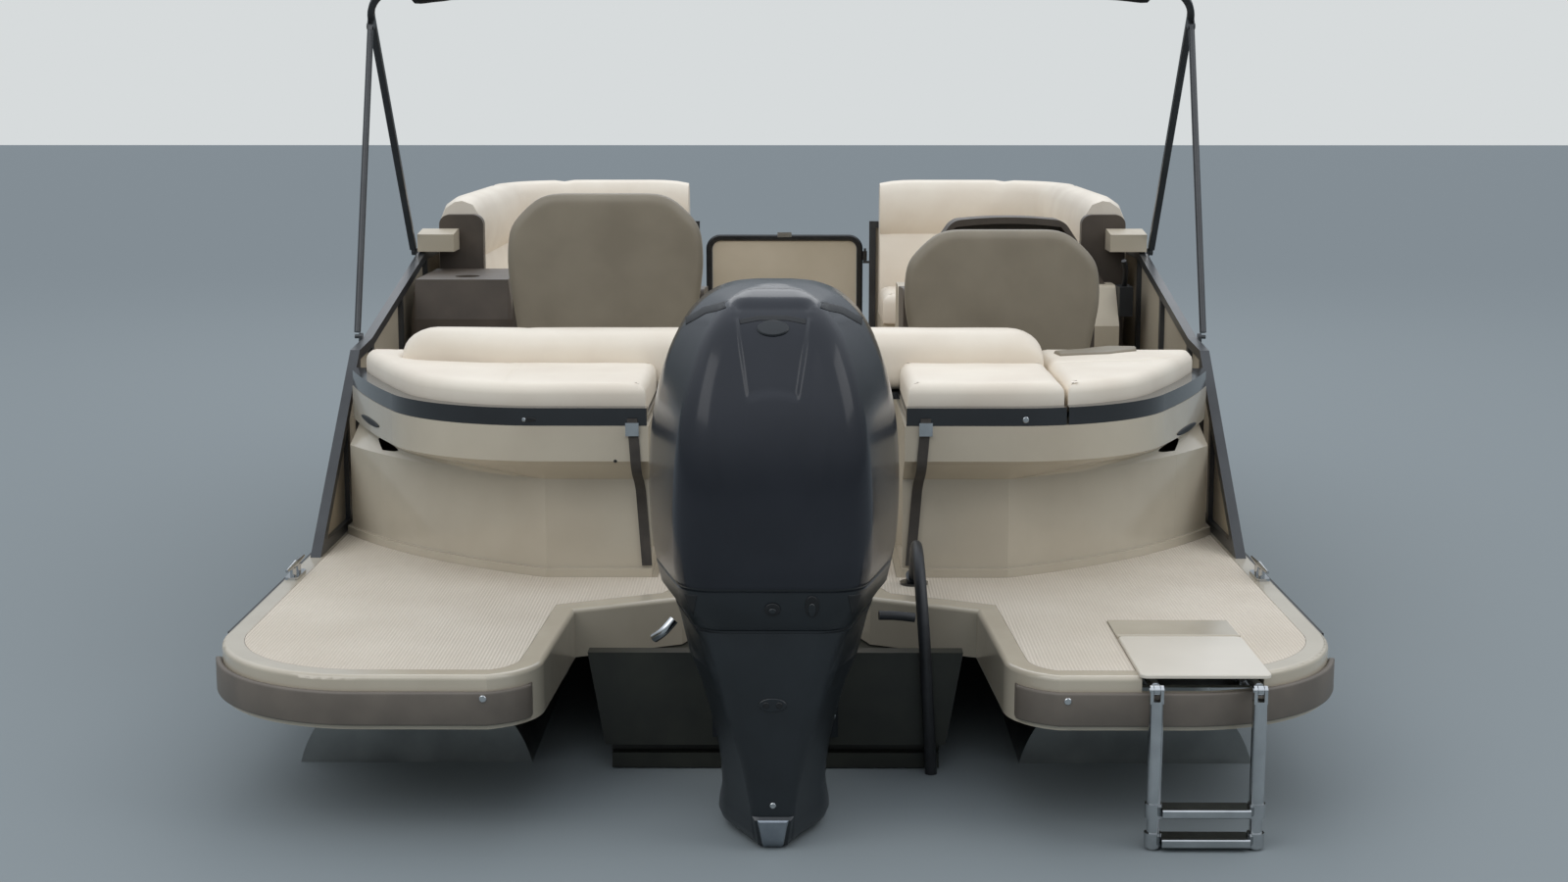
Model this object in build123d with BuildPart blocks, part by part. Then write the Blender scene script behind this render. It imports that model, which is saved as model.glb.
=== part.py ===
# Pontoon deck boat with an outboard motor, seen from astern with its bimini top stowed upright.
# Millimetres. Origin on the centreline, at the waterline, in the plane of the motor transom's aft face.
# +X starboard, +Y forward, +Z up.
from build123d import *
import math
import os

os.makedirs("parts", exist_ok=True)

# Hull and deck
beam = 2590                 # over the rub rails
tube_diameter = 584         # aluminium pontoon tubes
tube_spacing = 878          # centreline to outer tube
tube_top = 222
tube_aft = 60
tube_parallel = 4150        # end of the straight part
tube_nose = 5060            # tip of the nose cone
riser_width = 120
crossmember_height = 76
crossmember_width = 45
crossmember_wall = 6
crossmember_pitch = 420
crossmember_count = 11
crossmember_aft = 375
deck_thickness = 20
deck_bow = 4720
deck_corner = 380
rub_rail_thickness = 15
rub_rail_height = 70
skirt_thickness = 18

crossmember_bottom = tube_top + 32
deck_bottom = crossmember_bottom + crossmember_height
deck_top = deck_bottom + deck_thickness
half_beam = beam / 2
side = half_beam - rub_rail_thickness           # outer face of skirt and platform
deck_side = side - skirt_thickness

# Stern platform
platform_aft = -500
platform_fore = 1260
platform_thickness = 23
platform_skirt = 12
moulding_seam = 0.4         # between the mouldings of the platform and of the cabinet
platform_edge = 11          # rounding of its top edge
platform_depth = 120
platform_top = deck_top + platform_thickness
platform_bottom = platform_top - platform_depth
cabinet_plinth = 14
plinth_height = 22
bumper_bottom = 264
bumper_top = 340
bumper_thickness = 15
bumper_inner = 530          # from the centreline to the strip's inner end
wing_inner = 490            # half width of the motor well
well_rim = 330              # forward rim behind the motor
well_recess_half = 200
well_shoulder = (235, 232)  # where the rim's slanted sides begin
well_corner_y = 105
mat_margin = 50
mat_thickness = 4

# Boarding ladder and its hatch
ladder_port = 822           # rails, from the centreline
ladder_starboard = 1044
hatch_aft = -515
hatch_length = 335
hatch_thickness = 8
pocket_floor = 338
ladder_pivot_y = -540
ladder_pivot_z = 354
ladder_arm_diameter = 24
rail_diameter = 32
rail_wall = 1.95
ladder_sections = 3
tread_top = 92
tread_pitch = 66

hatch_fore = hatch_aft + hatch_length
hatch_panel_fore = hatch_fore + 170     # smooth panel ahead of the hatch
ladder_middle = (ladder_port + ladder_starboard) / 2
pocket_width = ladder_starboard - ladder_port + 50
hatch_width = pocket_width + 12

# Transom pod
pod_top = 293
pod_bottom = 64
pod_half_top = 450
pod_half_bottom = 410
pod_thickness = 45
pod_length = 1400

# Sun pad cabinet
notch_half = 325            # room for the tilted motor
notch_fore = 860
cabinet_wall = 10
cabinet_face = 472
cabinet_fore = 1190
cabinet_side = side - 65
band_side = cabinet_side + 13
band_side_start = 1130      # where the band's quarter meets its side
cabinet_top = 783
band_bottom = 680
band_inset = 20             # of the band's lower edge
band_foot = 630
hinge_y = cabinet_fore + 6  # line that the lids turn on
hinge_z = cabinet_top + 7

# Sun pad lids and upholstery
lid_face = 380
lid_rail_height = 45
lid_rail_width = 38
lid_thickness = 18
lid_gap = 6
hinge_radius = 6            # knuckles of the lids' hinge
hinge_pin = 3
hinge_start = 60            # first knuckle, from the centreline
hinge_pitch = 75            # length of a knuckle
hinge_count = 4             # knuckles of each leaf
cushion_height = 84
cushion_edge = 24
lid_split = 737             # between starboard lid and corner
bolster_aft = 866
bolster_depth = 250
bolster_rise = 168
bolster_port_end = 1057
bolster_starboard_end = 735

# Fences
fence_outer = side - 14     # set in from the deck's edge
fence_aft_top = 1490
fence_low = 880
fence_rise_end = 2500
fence_high = 1070
fence_fore = 4260
bow_corner = 470
gate_half = 363
gate_y = 4244
gate_top = 1012
gate_tube = 26
fence_tube = 28
panel_thickness = 4

# Cockpit: captain's chairs, helm, side cabinet and bow lounges
chair_y = 1725              # swivel axis
chair_port_x = -525
chair_starboard_x = 670
chair_back_face = 1450
chair_seat_top = 830
chair_post_diameter = 80
chair_post_top = 620
helm_port = 400
helm_starboard = 1150
helm_aft = 2300
helm_fore = 2585
helm_top = 960
hood_top = 1190
wheel_diameter = 340
wheel_x = 780
wheel_z = 905
wheel_y = 2228
wheel_rake = 30
side_cabinet_aft = 2080
side_cabinet_fore = 2560
side_cabinet_inner = 885
side_cabinet_top = 1005
lounge_aft = side_cabinet_fore + 80
lounge_outer = fence_outer - fence_tube - 10
lounge_inner = 400
lounge_fore = 4222
lounge_corner = 430
lounge_seat_depth = 560
lounge_base_top = 690
lounge_seat_top = 815
lounge_back_top = 1250
lounge_back_depth = 170
block_aft = lounge_aft - 185
block_fore = lounge_aft - 55

# Bimini top, stowed upright in its boot
bimini_tube = 22
tube_corner = 3
bimini_x = fence_outer + 17 # centre of the legs, clear of the fence
bimini_pivot_y = 2500
bimini_pivot_z = 1070
bimini_foot_y = 1490
bimini_foot_z = 885
bimini_elbow_y = 1870
bimini_elbow_z = 1840
bimini_rise = 150           # crown of the bow over its elbows
boot_diameter = 120
pivot_radius = 6

brace_foot_gap = 14         # open lower end of a brace, clear of its pin
brace_offset = 32           # eye of the brace, behind the leg's centreline
brace_tube = 20
jaw_half = 11               # half width of the jaw that holds the brace's eye
jaw_cheek = 4
brace_pin = 4

# Deck fittings
cleat_x = side - 25
cleat_y = 470
strap_x = 365
strap_width = 30

# Motor
tilt_y = -10
tilt_z = 345
steer_y = -180
shaft_z = -262
tilt_radius = 20
clamp_half = 118            # inner faces of the clamp bracket's cheeks
swivel_bottom = 150
swivel_top = 400
spindle_radius = 22
pan_bottom = 495
cowl_seam = 592
pin_gap = 0.05
seat_gap = 0.3              # between pieces that rest on each other


def save(piece, label):
    piece.label = label
    export_step(piece, f"parts/{label}.step")


def save_both(piece, label):
    """The starboard piece and its mirror image as two solids of one node."""
    save(Compound([*piece.solids(), *mirror(piece, about=Plane.YZ).solids()]), label)


def across(y):
    """Plane across the boat at y: sketch x is +X, sketch y is +Z, and +amount goes aft."""
    return Plane.XZ.offset(-y)


def along(x):
    """Plane along the boat at x: sketch x is +Y, sketch y is +Z, and +amount goes to starboard."""
    return Plane.YZ.offset(x)


def level(z):
    return Plane.XY.offset(z)


# Pontoon tubes: parallel body, nose cone with a level top, keel strip, lifting strakes and deck riser.
tube_radius = tube_diameter / 2
tube_z = tube_top - tube_radius
# nose sections: share of the nose length, share of the tube's radius, drop of the top
nose_sections = [(0.0, 1.0, 0), (0.22, 0.96, 0), (0.42, 0.87, 1), (0.6, 0.74, 4), (0.76, 0.57, 9), (0.9, 0.35, 17),
                 (1.0, 0.14, 26)]


def pontoon(x, aft):
    with BuildPart() as tube:
        with BuildSketch(across(aft)):
            with Locations((x, tube_z)):
                Circle(tube_radius)
        extrude(amount=-(tube_parallel - aft))
        for share, scale, drop in nose_sections:
            with BuildSketch(across(tube_parallel + share * (tube_nose - tube_parallel))):
                with Locations((x, tube_top - drop - scale * tube_radius)):
                    Circle(scale * tube_radius)
        loft(ruled=True)
        with BuildSketch(across(aft + 150)):
            with BuildLine():
                Polyline((x - riser_width / 2, tube_z + tube_radius * 0.9),
                         (x - riser_width / 4, crossmember_bottom), (x + riser_width / 4, crossmember_bottom),
                         (x + riser_width / 2, tube_z + tube_radius * 0.9), close=True)
            make_face()
        extrude(amount=-(tube_parallel - aft - 150))
        with BuildSketch(across(aft + 80)):
            with Locations((x, tube_z - tube_radius)):
                Rectangle(12, 44)
            for turn in (-52, 52):
                direction = Vector(math.sin(math.radians(turn)), -math.cos(math.radians(turn)))
                foot = Vector(x, tube_z) + direction * (tube_radius + 8)
                with Locations(Location((foot.X, foot.Y), turn)):
                    Rectangle(70, 26)
        extrude(amount=-(tube_parallel - aft - 80))
    return tube.part


save(pontoon(tube_spacing, tube_aft), "pontoon_starboard")
save(pontoon(-tube_spacing, tube_aft), "pontoon_port")
save(pontoon(0, pod_length), "pontoon_center")

# Motor pod: the transom plate that the motor hangs on, with the closed pod ahead of it.
with BuildPart() as pod:
    with BuildSketch(across(0)):
        with BuildLine():
            Polyline((-pod_half_top, pod_top), (-pod_half_bottom, pod_bottom),
                     (pod_half_bottom, pod_bottom), (pod_half_top, pod_top), close=True)
        make_face()
    extrude(amount=-pod_thickness)
    pod_sections = [(pod_thickness, 420, 395, 300, -150), (pod_length, 300, 270, 180, -300)]
    for y, top_half, chine_half, floor_half, keel in pod_sections:
        with BuildSketch(across(y)):
            with BuildLine():
                Polyline((-top_half, crossmember_bottom - 4), (-chine_half, 20), (-floor_half, -70), (0, keel),
                         (floor_half, -70), (chine_half, 20), (top_half, crossmember_bottom - 4), close=True)
            make_face()
    loft(ruled=True)
    with BuildSketch(across(12)):
        with Locations((0, 22)):
            Rectangle(2 * 395, 36)
    extrude(amount=-(pod_thickness - 12))
save(pod.part, "motor_pod")

# Crossmembers: open channels across the tubes, one under each joint of the deck.
with BuildPart() as crossmembers:
    for index in range(crossmember_count):
        y = crossmember_aft + index * crossmember_pitch
        half = deck_side - 20 if y < deck_bow - deck_corner else deck_side - deck_corner / 2
        with BuildSketch(along(-half)):
            with Locations((y, crossmember_bottom + crossmember_height / 2)):
                Rectangle(crossmember_width, crossmember_height)
            with Locations((y + crossmember_wall, crossmember_bottom + crossmember_height / 2)):
                Rectangle(crossmember_width, crossmember_height - 2 * crossmember_wall, mode=Mode.SUBTRACT)
        extrude(amount=2 * half)
save(crossmembers.part, "crossmembers")


def deck_outline(inset):
    """Half of the deck's plan from platform to bow, on the starboard side."""
    with BuildLine() as outline:
        x = deck_side - inset
        y = deck_bow - inset
        radius = deck_corner - inset
        l1 = Line((0, platform_fore), (x, platform_fore))
        l2 = Line(l1 @ 1, (x, y - radius))
        l3 = TangentArc(l2 @ 1, (x - radius, y), tangent=l2 % 1)
        l4 = Line(l3 @ 1, (0, y))
        Line(l4 @ 1, l1 @ 0)
    return outline.line


# Deck: one sheet under cockpit and platform.
with BuildPart() as deck:
    with BuildSketch(level(deck_bottom)):
        with BuildLine():
            add(deck_outline(0))
        make_face()
        with Locations((0, well_rim + 30)):
            Rectangle(side - 40, platform_fore - well_rim - 30, align=(Align.MIN, Align.MIN))
        mirror(about=Plane.YZ)
    extrude(amount=deck_thickness)
save(deck.part, "deck")

# Deck skirt: the extrusion that closes the deck's edge from the platform round the bow.
with BuildPart() as skirt:
    with BuildSketch(level(crossmember_bottom + 8)):
        with BuildLine():
            add(deck_outline(-skirt_thickness))
        make_face()
        with BuildLine():
            add(deck_outline(-0.3))
        make_face(mode=Mode.SUBTRACT)
        with Locations((0, platform_fore)):
            Rectangle(deck_side + 0.3, 60, align=(Align.MIN, Align.CENTER), mode=Mode.SUBTRACT)
            Rectangle(beam, 4, mode=Mode.SUBTRACT)
        mirror(about=Plane.YZ)
    extrude(amount=deck_top - crossmember_bottom - 8)
save(skirt.part, "deck_skirt")

# Rub rail: black bumper strip from the platform's sides round the bow.
rub_rail_start = -60
rub_rail_bottom = deck_top - rub_rail_height + 8
with BuildPart() as rub_rail:
    with BuildSketch(level(rub_rail_bottom)):
        with BuildLine():
            add(deck_outline(-skirt_thickness - rub_rail_thickness))
        make_face()
        with Locations((0, rub_rail_start)):
            Rectangle(half_beam, platform_fore - rub_rail_start + 1, align=(Align.MIN, Align.MIN))
        with BuildLine():
            add(deck_outline(-skirt_thickness - 0.3))
        make_face(mode=Mode.SUBTRACT)
        with Locations((0, rub_rail_start)):
            Rectangle(side + 0.3, platform_fore - rub_rail_start + 2, align=(Align.MIN, Align.MIN),
                      mode=Mode.SUBTRACT)
        mirror(about=Plane.YZ)
    extrude(amount=rub_rail_height)
save(rub_rail.part, "rub_rail")


def platform_outline(inset):
    """Half of the stern platform's plan, with the motor well between its wings."""
    with BuildLine() as outline:
        rim = Line((0, well_rim + inset), (well_recess_half + inset, well_rim + inset))
        recess = Line(rim @ 1, (well_shoulder[0] + inset, well_shoulder[1] + inset))
        slope = Line(recess @ 1, (wing_inner + inset, well_corner_y + inset))
        inner = Line(slope @ 1, (wing_inner + 22 + inset, platform_aft + 140))
        turn = TangentArc(inner @ 1, (wing_inner + 130, platform_aft + inset), tangent=(0.06, -1))
        aft = Line(turn @ 1, (900, platform_aft + inset))
        corner = TangentArc(aft @ 1, (side - inset, platform_aft + 390), tangent=aft % 1)
        edge = Line(corner @ 1, (side - inset, platform_fore - inset))
        fore = Line(edge @ 1, (0, platform_fore - inset))
        Line(fore @ 1, rim @ 0)
    return outline.line


def cabinet_outline(inset):
    """Half of the cabinet's foot in plan: flat centre, small step, curved quarter, side and notch."""
    with BuildLine() as outline:
        face = Line((notch_half + inset, cabinet_face + inset), (600, cabinet_face + inset))
        step = Line(face @ 1, (650, cabinet_face + 26 + inset))
        quarter = TangentArc(step @ 1, (cabinet_side - inset, 1012), tangent=(0.88, 0.47))
        flank = Line(quarter @ 1, (cabinet_side - inset, cabinet_fore - inset))
        fore = Line(flank @ 1, (0, cabinet_fore - inset))
        middle = Line(fore @ 1, (0, notch_fore + inset))
        notch = Line(middle @ 1, (notch_half + inset, notch_fore + inset))
        Line(notch @ 1, face @ 0)
    return outline.line


def mat_area(inset):
    """Where the mat lies on the platform: inside the border, and round the cabinet's foot."""
    with BuildSketch() as area:
        with BuildLine():
            add(platform_outline(mat_margin + inset))
        make_face()
        with BuildLine():
            add(cabinet_outline(-cabinet_plinth - inset))
        make_face(mode=Mode.SUBTRACT)
        mirror(about=Plane.YZ)
        with Locations((ladder_middle, hatch_panel_fore)):
            Rectangle(hatch_width + 2 * inset, 700, align=(Align.CENTER, Align.MAX), mode=Mode.SUBTRACT)
    return area.sketch


# Stern platform: moulded top with a deep skirt, the mat's recess and the ladder's pocket. The two wings
# meet its forward part on a fine seam under the mat.
with BuildPart() as platform:
    with BuildSketch(level(platform_bottom)):
        with BuildLine():
            add(platform_outline(0))
        make_face()
        mirror(about=Plane.YZ)
    extrude(amount=platform_depth)
    fillet(platform.faces().sort_by(Axis.Z)[-1].edges(), platform_edge)
    with BuildSketch(level(platform_bottom)):
        with BuildLine():
            add(platform_outline(platform_skirt))
        make_face()
        with Locations((0, platform_fore)):
            Rectangle(side - platform_skirt, 60, align=(Align.MIN, Align.CENTER))
        mirror(about=Plane.YZ)
    extrude(amount=platform_depth - platform_thickness, mode=Mode.SUBTRACT)
    with BuildSketch(level(platform_top)):
        add(mat_area(0))
    extrude(amount=-mat_thickness, mode=Mode.SUBTRACT)
    with BuildSketch(level(pocket_floor)):
        with Locations((ladder_middle, hatch_aft)):
            Rectangle(pocket_width, hatch_length - 12, align=(Align.CENTER, Align.MIN))
    extrude(amount=platform_top - pocket_floor, mode=Mode.SUBTRACT)
    with BuildSketch(level(platform_bottom)):
        with Locations((0, well_rim)):
            Rectangle(2 * beam, moulding_seam)
    extrude(amount=platform_depth, mode=Mode.SUBTRACT)
save(platform.part, "stern_platform")

# Mat: woven vinyl in the recess.
with BuildPart() as mat:
    with BuildSketch(level(platform_top - mat_thickness)):
        add(mat_area(1))
    extrude(amount=mat_thickness)
save(mat.part, "platform_mat")

# Bumpers: soft strips set on the platform's fascia and carried round its outer corners.
with BuildPart() as bumper:
    with BuildSketch(level(bumper_bottom)):
        with BuildLine():
            add(platform_outline(-bumper_thickness))
        make_face()
        with BuildLine():
            add(platform_outline(-0.3))
        make_face(mode=Mode.SUBTRACT)
        with Locations((bumper_inner, platform_aft - 100)):
            Rectangle(1000, 390, align=(Align.MIN, Align.MIN), mode=Mode.INTERSECT)
    extrude(amount=bumper_top - bumper_bottom)
save_both(bumper.part, "bumpers")


def band_outline(outer, inner=0):
    """Half of the cabinet's upper band in plan. outer insets its curved edge, inner its other edges."""
    with BuildLine() as outline:
        face = Line((notch_half + inner, lid_face + outer), (600, lid_face + outer))
        bend = TangentArc(face @ 1, (1024 - outer * 0.85, 640 + outer * 0.55), tangent=face % 1)
        quarter = TangentArc(bend @ 1, (band_side - outer, band_side_start), tangent=bend % 1)
        flank = Line(quarter @ 1, (band_side - outer, cabinet_fore - inner))
        fore = Line(flank @ 1, (0, cabinet_fore - inner))
        middle = Line(fore @ 1, (0, notch_fore + inner))
        notch = Line(middle @ 1, (notch_half + inner, notch_fore + inner))
        Line(notch @ 1, face @ 0)
    return outline.line


def face_at(outline, z):
    """A closed outline as a face at height z, for a loft or an extrusion."""
    with BuildSketch(level(z)) as face:
        with BuildLine():
            add(outline)
        make_face()
    return face.sketch


def hinge_places(turn):
    """Starts of every other knuckle along one lid's hinge: turn 0 for the lid's own, 1 for the cabinet's."""
    return [hinge_start + (2 * index + turn) * hinge_pitch for index in range(hinge_count)]


def hinge_knuckle(x, y, z, bore):
    """Outline of one knuckle of a lid's hinge round its pin, with a leaf that reaches back to (y, z)."""
    with BuildSketch(along(x)) as outline:
        with Locations((hinge_y, hinge_z)):
            Circle(hinge_radius)
        with BuildLine():
            Polyline((hinge_y, hinge_z - 3), (hinge_y, hinge_z + 3), (y, z + 3), (y, z - 3), close=True)
        make_face()
        if bore:
            with Locations((hinge_y, hinge_z)):
                Circle(bore, mode=Mode.SUBTRACT)
    return outline.sketch


# Sun pad cabinet: moulded shell with a plinth, a flared upper band and a notch for the tilted motor. A fine
# seam at the notch's end parts its two stern corners and the notch's end panel from its forward part.
with BuildPart() as cabinet:
    extrude(face_at(cabinet_outline(0), platform_top), amount=band_foot - platform_top)
    extrude(face_at(cabinet_outline(-cabinet_plinth), platform_top), amount=plinth_height)
    with BuildSketch(level(platform_top)):
        with Locations((-1, cabinet_face - cabinet_plinth - 1)):
            Rectangle(notch_half + 1, notch_fore - cabinet_face + cabinet_plinth + 1, align=(Align.MIN, Align.MIN))
    extrude(amount=plinth_height, mode=Mode.SUBTRACT)
    loft([face_at(cabinet_outline(0), band_foot), face_at(band_outline(band_inset), band_bottom)], ruled=True)
    loft([face_at(band_outline(band_inset), band_bottom), face_at(band_outline(0), band_bottom + 12)], ruled=True)
    extrude(face_at(band_outline(0), band_bottom + 12), amount=cabinet_top - band_bottom - 12)
    extrude(face_at(cabinet_outline(cabinet_wall), platform_top), amount=band_foot - platform_top,
            mode=Mode.SUBTRACT)
    with BuildSketch(level(band_foot)):
        with BuildLine():
            add(cabinet_outline(cabinet_wall))
        make_face()
        with BuildLine():
            add(band_outline(band_inset + cabinet_wall, cabinet_wall))
        make_face(mode=Mode.INTERSECT)
    extrude(amount=cabinet_top - band_foot, mode=Mode.SUBTRACT)
    with BuildSketch(level(platform_top)):
        with Locations((-1, notch_fore + cabinet_wall)):
            Rectangle(200, cabinet_fore - notch_fore - 2 * cabinet_wall, align=(Align.MIN, Align.MIN))
    extrude(amount=cabinet_top - platform_top, mode=Mode.SUBTRACT)
    for x in hinge_places(1):
        extrude(hinge_knuckle(x, cabinet_fore - 4, cabinet_top - 12, 0), amount=hinge_pitch - 1)
    with BuildSketch(along(hinge_start)):
        with Locations((hinge_y, hinge_z)):
            Circle(hinge_pin)
    extrude(amount=2 * hinge_count * hinge_pitch)
    mirror(about=Plane.YZ)
    with BuildSketch(level(platform_top)):
        with Locations((0, notch_fore)):
            Rectangle(2 * beam, moulding_seam)
    extrude(amount=cabinet_top - platform_top, mode=Mode.SUBTRACT)
save(cabinet.part, "sunpad_cabinet")

# Sun pad lids: boards with a black rail round the curved edge, hinged along their front edge.
# name, side, inner end, outer end
lid_table = [("sunpad_lid_port", -1, lid_gap / 2, beam), ("sunpad_lid_starboard", 1, lid_gap / 2, lid_split),
             ("sunpad_corner_lid", 1, lid_split + lid_gap, beam)]
lid_bottom = cabinet_top + 0.3
board_top = lid_bottom + lid_thickness


def between(inner, outer, depth=beam):
    """Rectangle in plan that keeps what lies between two distances from the centreline."""
    return Rectangle(outer - inner, depth, align=(Align.MIN, Align.CENTER), mode=Mode.INTERSECT)


for label, hand, inner_end, outer_end in lid_table:
    with BuildPart() as lid:
        with BuildSketch(level(lid_bottom)):
            with BuildLine():
                add(band_outline(2, 4))
            make_face()
            with Locations((inner_end, lid_face)):
                between(inner_end, outer_end)
        extrude(amount=lid_rail_height)
        with BuildSketch(level(board_top)):
            with BuildLine():
                add(band_outline(lid_rail_width, -8))
            make_face()
        extrude(amount=lid_rail_height, mode=Mode.SUBTRACT)
        if label != "sunpad_corner_lid":
            for x in hinge_places(0):
                extrude(hinge_knuckle(x, cabinet_fore - 6, lid_bottom + 4, hinge_pin + pin_gap), amount=hinge_pitch - 1)
    save(lid.part if hand > 0 else mirror(lid.part, about=Plane.YZ), label)

# Cushions: one on each lid, cut round the bolsters.
# name, side, inner end, outer end, outer end of the bolster
cushion_table = [("cushion_port", -1, 0, beam, bolster_port_end),
                 ("cushion_starboard", 1, 0, lid_split - 2, bolster_starboard_end),
                 ("cushion_corner", 1, lid_split + lid_gap + 2, beam, 0)]
for label, hand, inner_end, outer_end, bolster_end in cushion_table:
    with BuildPart() as cushion:
        with BuildSketch(level(board_top + 0.3)):
            with BuildLine():
                add(band_outline(lid_rail_width + 3, 10))
            make_face()
            with Locations((inner_end, lid_face)):
                between(inner_end, outer_end)
            with Locations((0, bolster_aft)):
                Rectangle(bolster_end + 2, beam, align=(Align.MIN, Align.MIN), mode=Mode.SUBTRACT)
        extrude(amount=cushion_height)
        fillet(cushion.faces().sort_by(Axis.Z)[-1].edges().sort_by(Axis.Y)[0], cushion_edge)
    save(cushion.part if hand > 0 else mirror(cushion.part, about=Plane.YZ), label)

# Bolsters: the headrest roll along the front of the sun pad.
for label, hand, outer_end in [("bolster_port", -1, bolster_port_end), ("bolster_starboard", 1, bolster_starboard_end)]:
    with BuildPart() as bolster:
        with BuildSketch(along(hand * 3)):
            with Locations((bolster_aft + 2, board_top + 0.3)):
                Rectangle(bolster_depth, bolster_rise, align=(Align.MIN, Align.MIN))
            fillet(vertices().group_by(Axis.Y)[-1], 55)
        extrude(amount=hand * (outer_end - 5))
    save(bolster.part, label)

# Fences: welded frames of square tube from the slanted tail to the bow gate, filled with thin panels.
# top line of the side fence, aft to forward: y, z
fence_line = [(690, platform_top), (1300, 866), (fence_aft_top, fence_low), (fence_rise_end, fence_high),
              (fence_fore - bow_corner, fence_high)]
# windows between the posts: aft edge, forward edge
fence_windows = [(795, 1094), (1122, 1276), (1304, 1490), (1518, 2000), (2028, 2486), (2514, 3130), (3158, 3762)]


def fence_top(y):
    """Height of the fence's top line at y."""
    for (y0, z0), (y1, z1) in zip(fence_line, fence_line[1:]):
        if y <= y1:
            return z0 + (z1 - z0) * (y - y0) / (y1 - y0)
    return fence_high


def window_points(y0, y1):
    """Corners of a window, one tube's width inside the fence's outline."""
    low = (platform_top if y0 < platform_fore else deck_top) + fence_tube
    drop = 37 if y1 < 1300 else fence_tube
    points = [(y0, low), (y1, low), (y1, fence_top(y1) - drop), (y0, fence_top(y0) - drop)]
    return points if fence_top(y0) - drop > low + 2 else points[:3]


def bow_fence_outline(inset):
    """Half of the bow fence's plan, from the side fence to the gate opening."""
    with BuildLine() as outline:
        x = fence_outer - inset
        y = fence_fore - inset
        radius = bow_corner - inset
        l1 = Line((0, fence_fore - bow_corner), (x, fence_fore - bow_corner))
        l2 = TangentArc(l1 @ 1, (x - radius, y), tangent=(0, 1))
        l3 = Line(l2 @ 1, (0, y))
        Line(l3 @ 1, l1 @ 0)
    return outline.line


def bow_ring(outer, inner, z, height, gate_side):
    """A wall along the bow fence between two insets, cut off at the gate's side."""
    with BuildPart() as wall:
        with BuildSketch(level(z)):
            with BuildLine():
                add(bow_fence_outline(outer))
            make_face()
            with BuildLine():
                add(bow_fence_outline(inner))
            make_face(mode=Mode.SUBTRACT)
            with Locations((0, fence_fore - bow_corner)):
                Rectangle(fence_outer - inner, 20, align=(Align.MIN, Align.CENTER), mode=Mode.SUBTRACT)
            with Locations((gate_side, 0)):
                Rectangle(fence_outer, fence_fore, align=(Align.MIN, Align.MIN), mode=Mode.INTERSECT)
        extrude(amount=height)
    return wall.part


with BuildPart() as fence:
    with BuildSketch(along(fence_outer - fence_tube)):
        with BuildLine():
            Polyline(fence_line[0], *fence_line[1:], (fence_line[-1][0], deck_top), (platform_fore, deck_top),
                     (platform_fore, platform_top), close=True)
        make_face()
        for y0, y1 in fence_windows:
            with BuildLine():
                Polyline(*window_points(y0, y1), close=True)
            make_face(mode=Mode.SUBTRACT)
    extrude(amount=fence_tube)
    add(bow_ring(0, fence_tube, deck_top, fence_tube, gate_half))
    add(bow_ring(0, fence_tube, fence_high - fence_tube, fence_tube, gate_half))
    with BuildSketch(level(deck_top)):
        with Locations((gate_half, fence_fore - fence_tube), (fence_outer - bow_corner, fence_fore - fence_tube)):
            Rectangle(fence_tube, fence_tube, align=(Align.MIN, Align.MIN))
    extrude(amount=fence_high - deck_top)
save(mirror(fence.part, about=Plane.YZ), "fence_frame_port")

with BuildPart() as panels:
    with BuildSketch(along(fence_outer - fence_tube / 2)):
        for y0, y1 in fence_windows:
            with BuildLine():
                Polyline(*window_points(y0, y1), close=True)
            make_face()
    extrude(amount=panel_thickness)
    add(bow_ring(fence_tube / 2 - panel_thickness, fence_tube / 2, deck_top + fence_tube,
                 fence_high - deck_top - 2 * fence_tube, gate_half + fence_tube))
    with BuildSketch(level(deck_top)):
        with Locations((fence_outer - bow_corner, fence_fore - fence_tube)):
            Rectangle(fence_tube, fence_tube, align=(Align.MIN, Align.MIN))
    extrude(amount=fence_high - deck_top, mode=Mode.SUBTRACT)
save_both(panels.part, "fence_panels")

# Bow gate: round tube frame with a flat panel, hinged on its starboard post.
gate_low = deck_top + 22
gate_frame_half = gate_half - 28
with BuildPart() as gate_frame:
    with BuildSketch(across(gate_y)):
        with Locations((0, (gate_low + gate_top) / 2)):
            RectangleRounded(2 * gate_frame_half, gate_top - gate_low, 60)
            RectangleRounded(2 * gate_frame_half - 2 * gate_tube, gate_top - gate_low - 2 * gate_tube, 36,
                             mode=Mode.SUBTRACT)
    extrude(amount=gate_tube / 2, both=True)
    chamfer(gate_frame.edges().filter_by(GeomType.CIRCLE), 6)
    for z in (gate_low + 90, gate_top - 110):
        with BuildSketch(level(z)):
            with Locations((gate_frame_half + 10, gate_y)):
                Circle(9)
            with Locations((gate_frame_half, gate_y)):
                Rectangle(14, 10)
            with Locations((gate_frame_half + 10, gate_y)):
                Circle(5 + pin_gap, mode=Mode.SUBTRACT)
        extrude(amount=40)
save(gate_frame.part, "gate_frame")

with BuildPart() as gate_panel:
    with BuildSketch(across(gate_y)):
        with Locations((0, (gate_low + gate_top) / 2)):
            RectangleRounded(2 * gate_frame_half - 2 * gate_tube - 1, gate_top - gate_low - 2 * gate_tube - 1, 35.5)
    extrude(amount=panel_thickness / 2, both=True)
save(gate_panel.part, "gate_panel")

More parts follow.
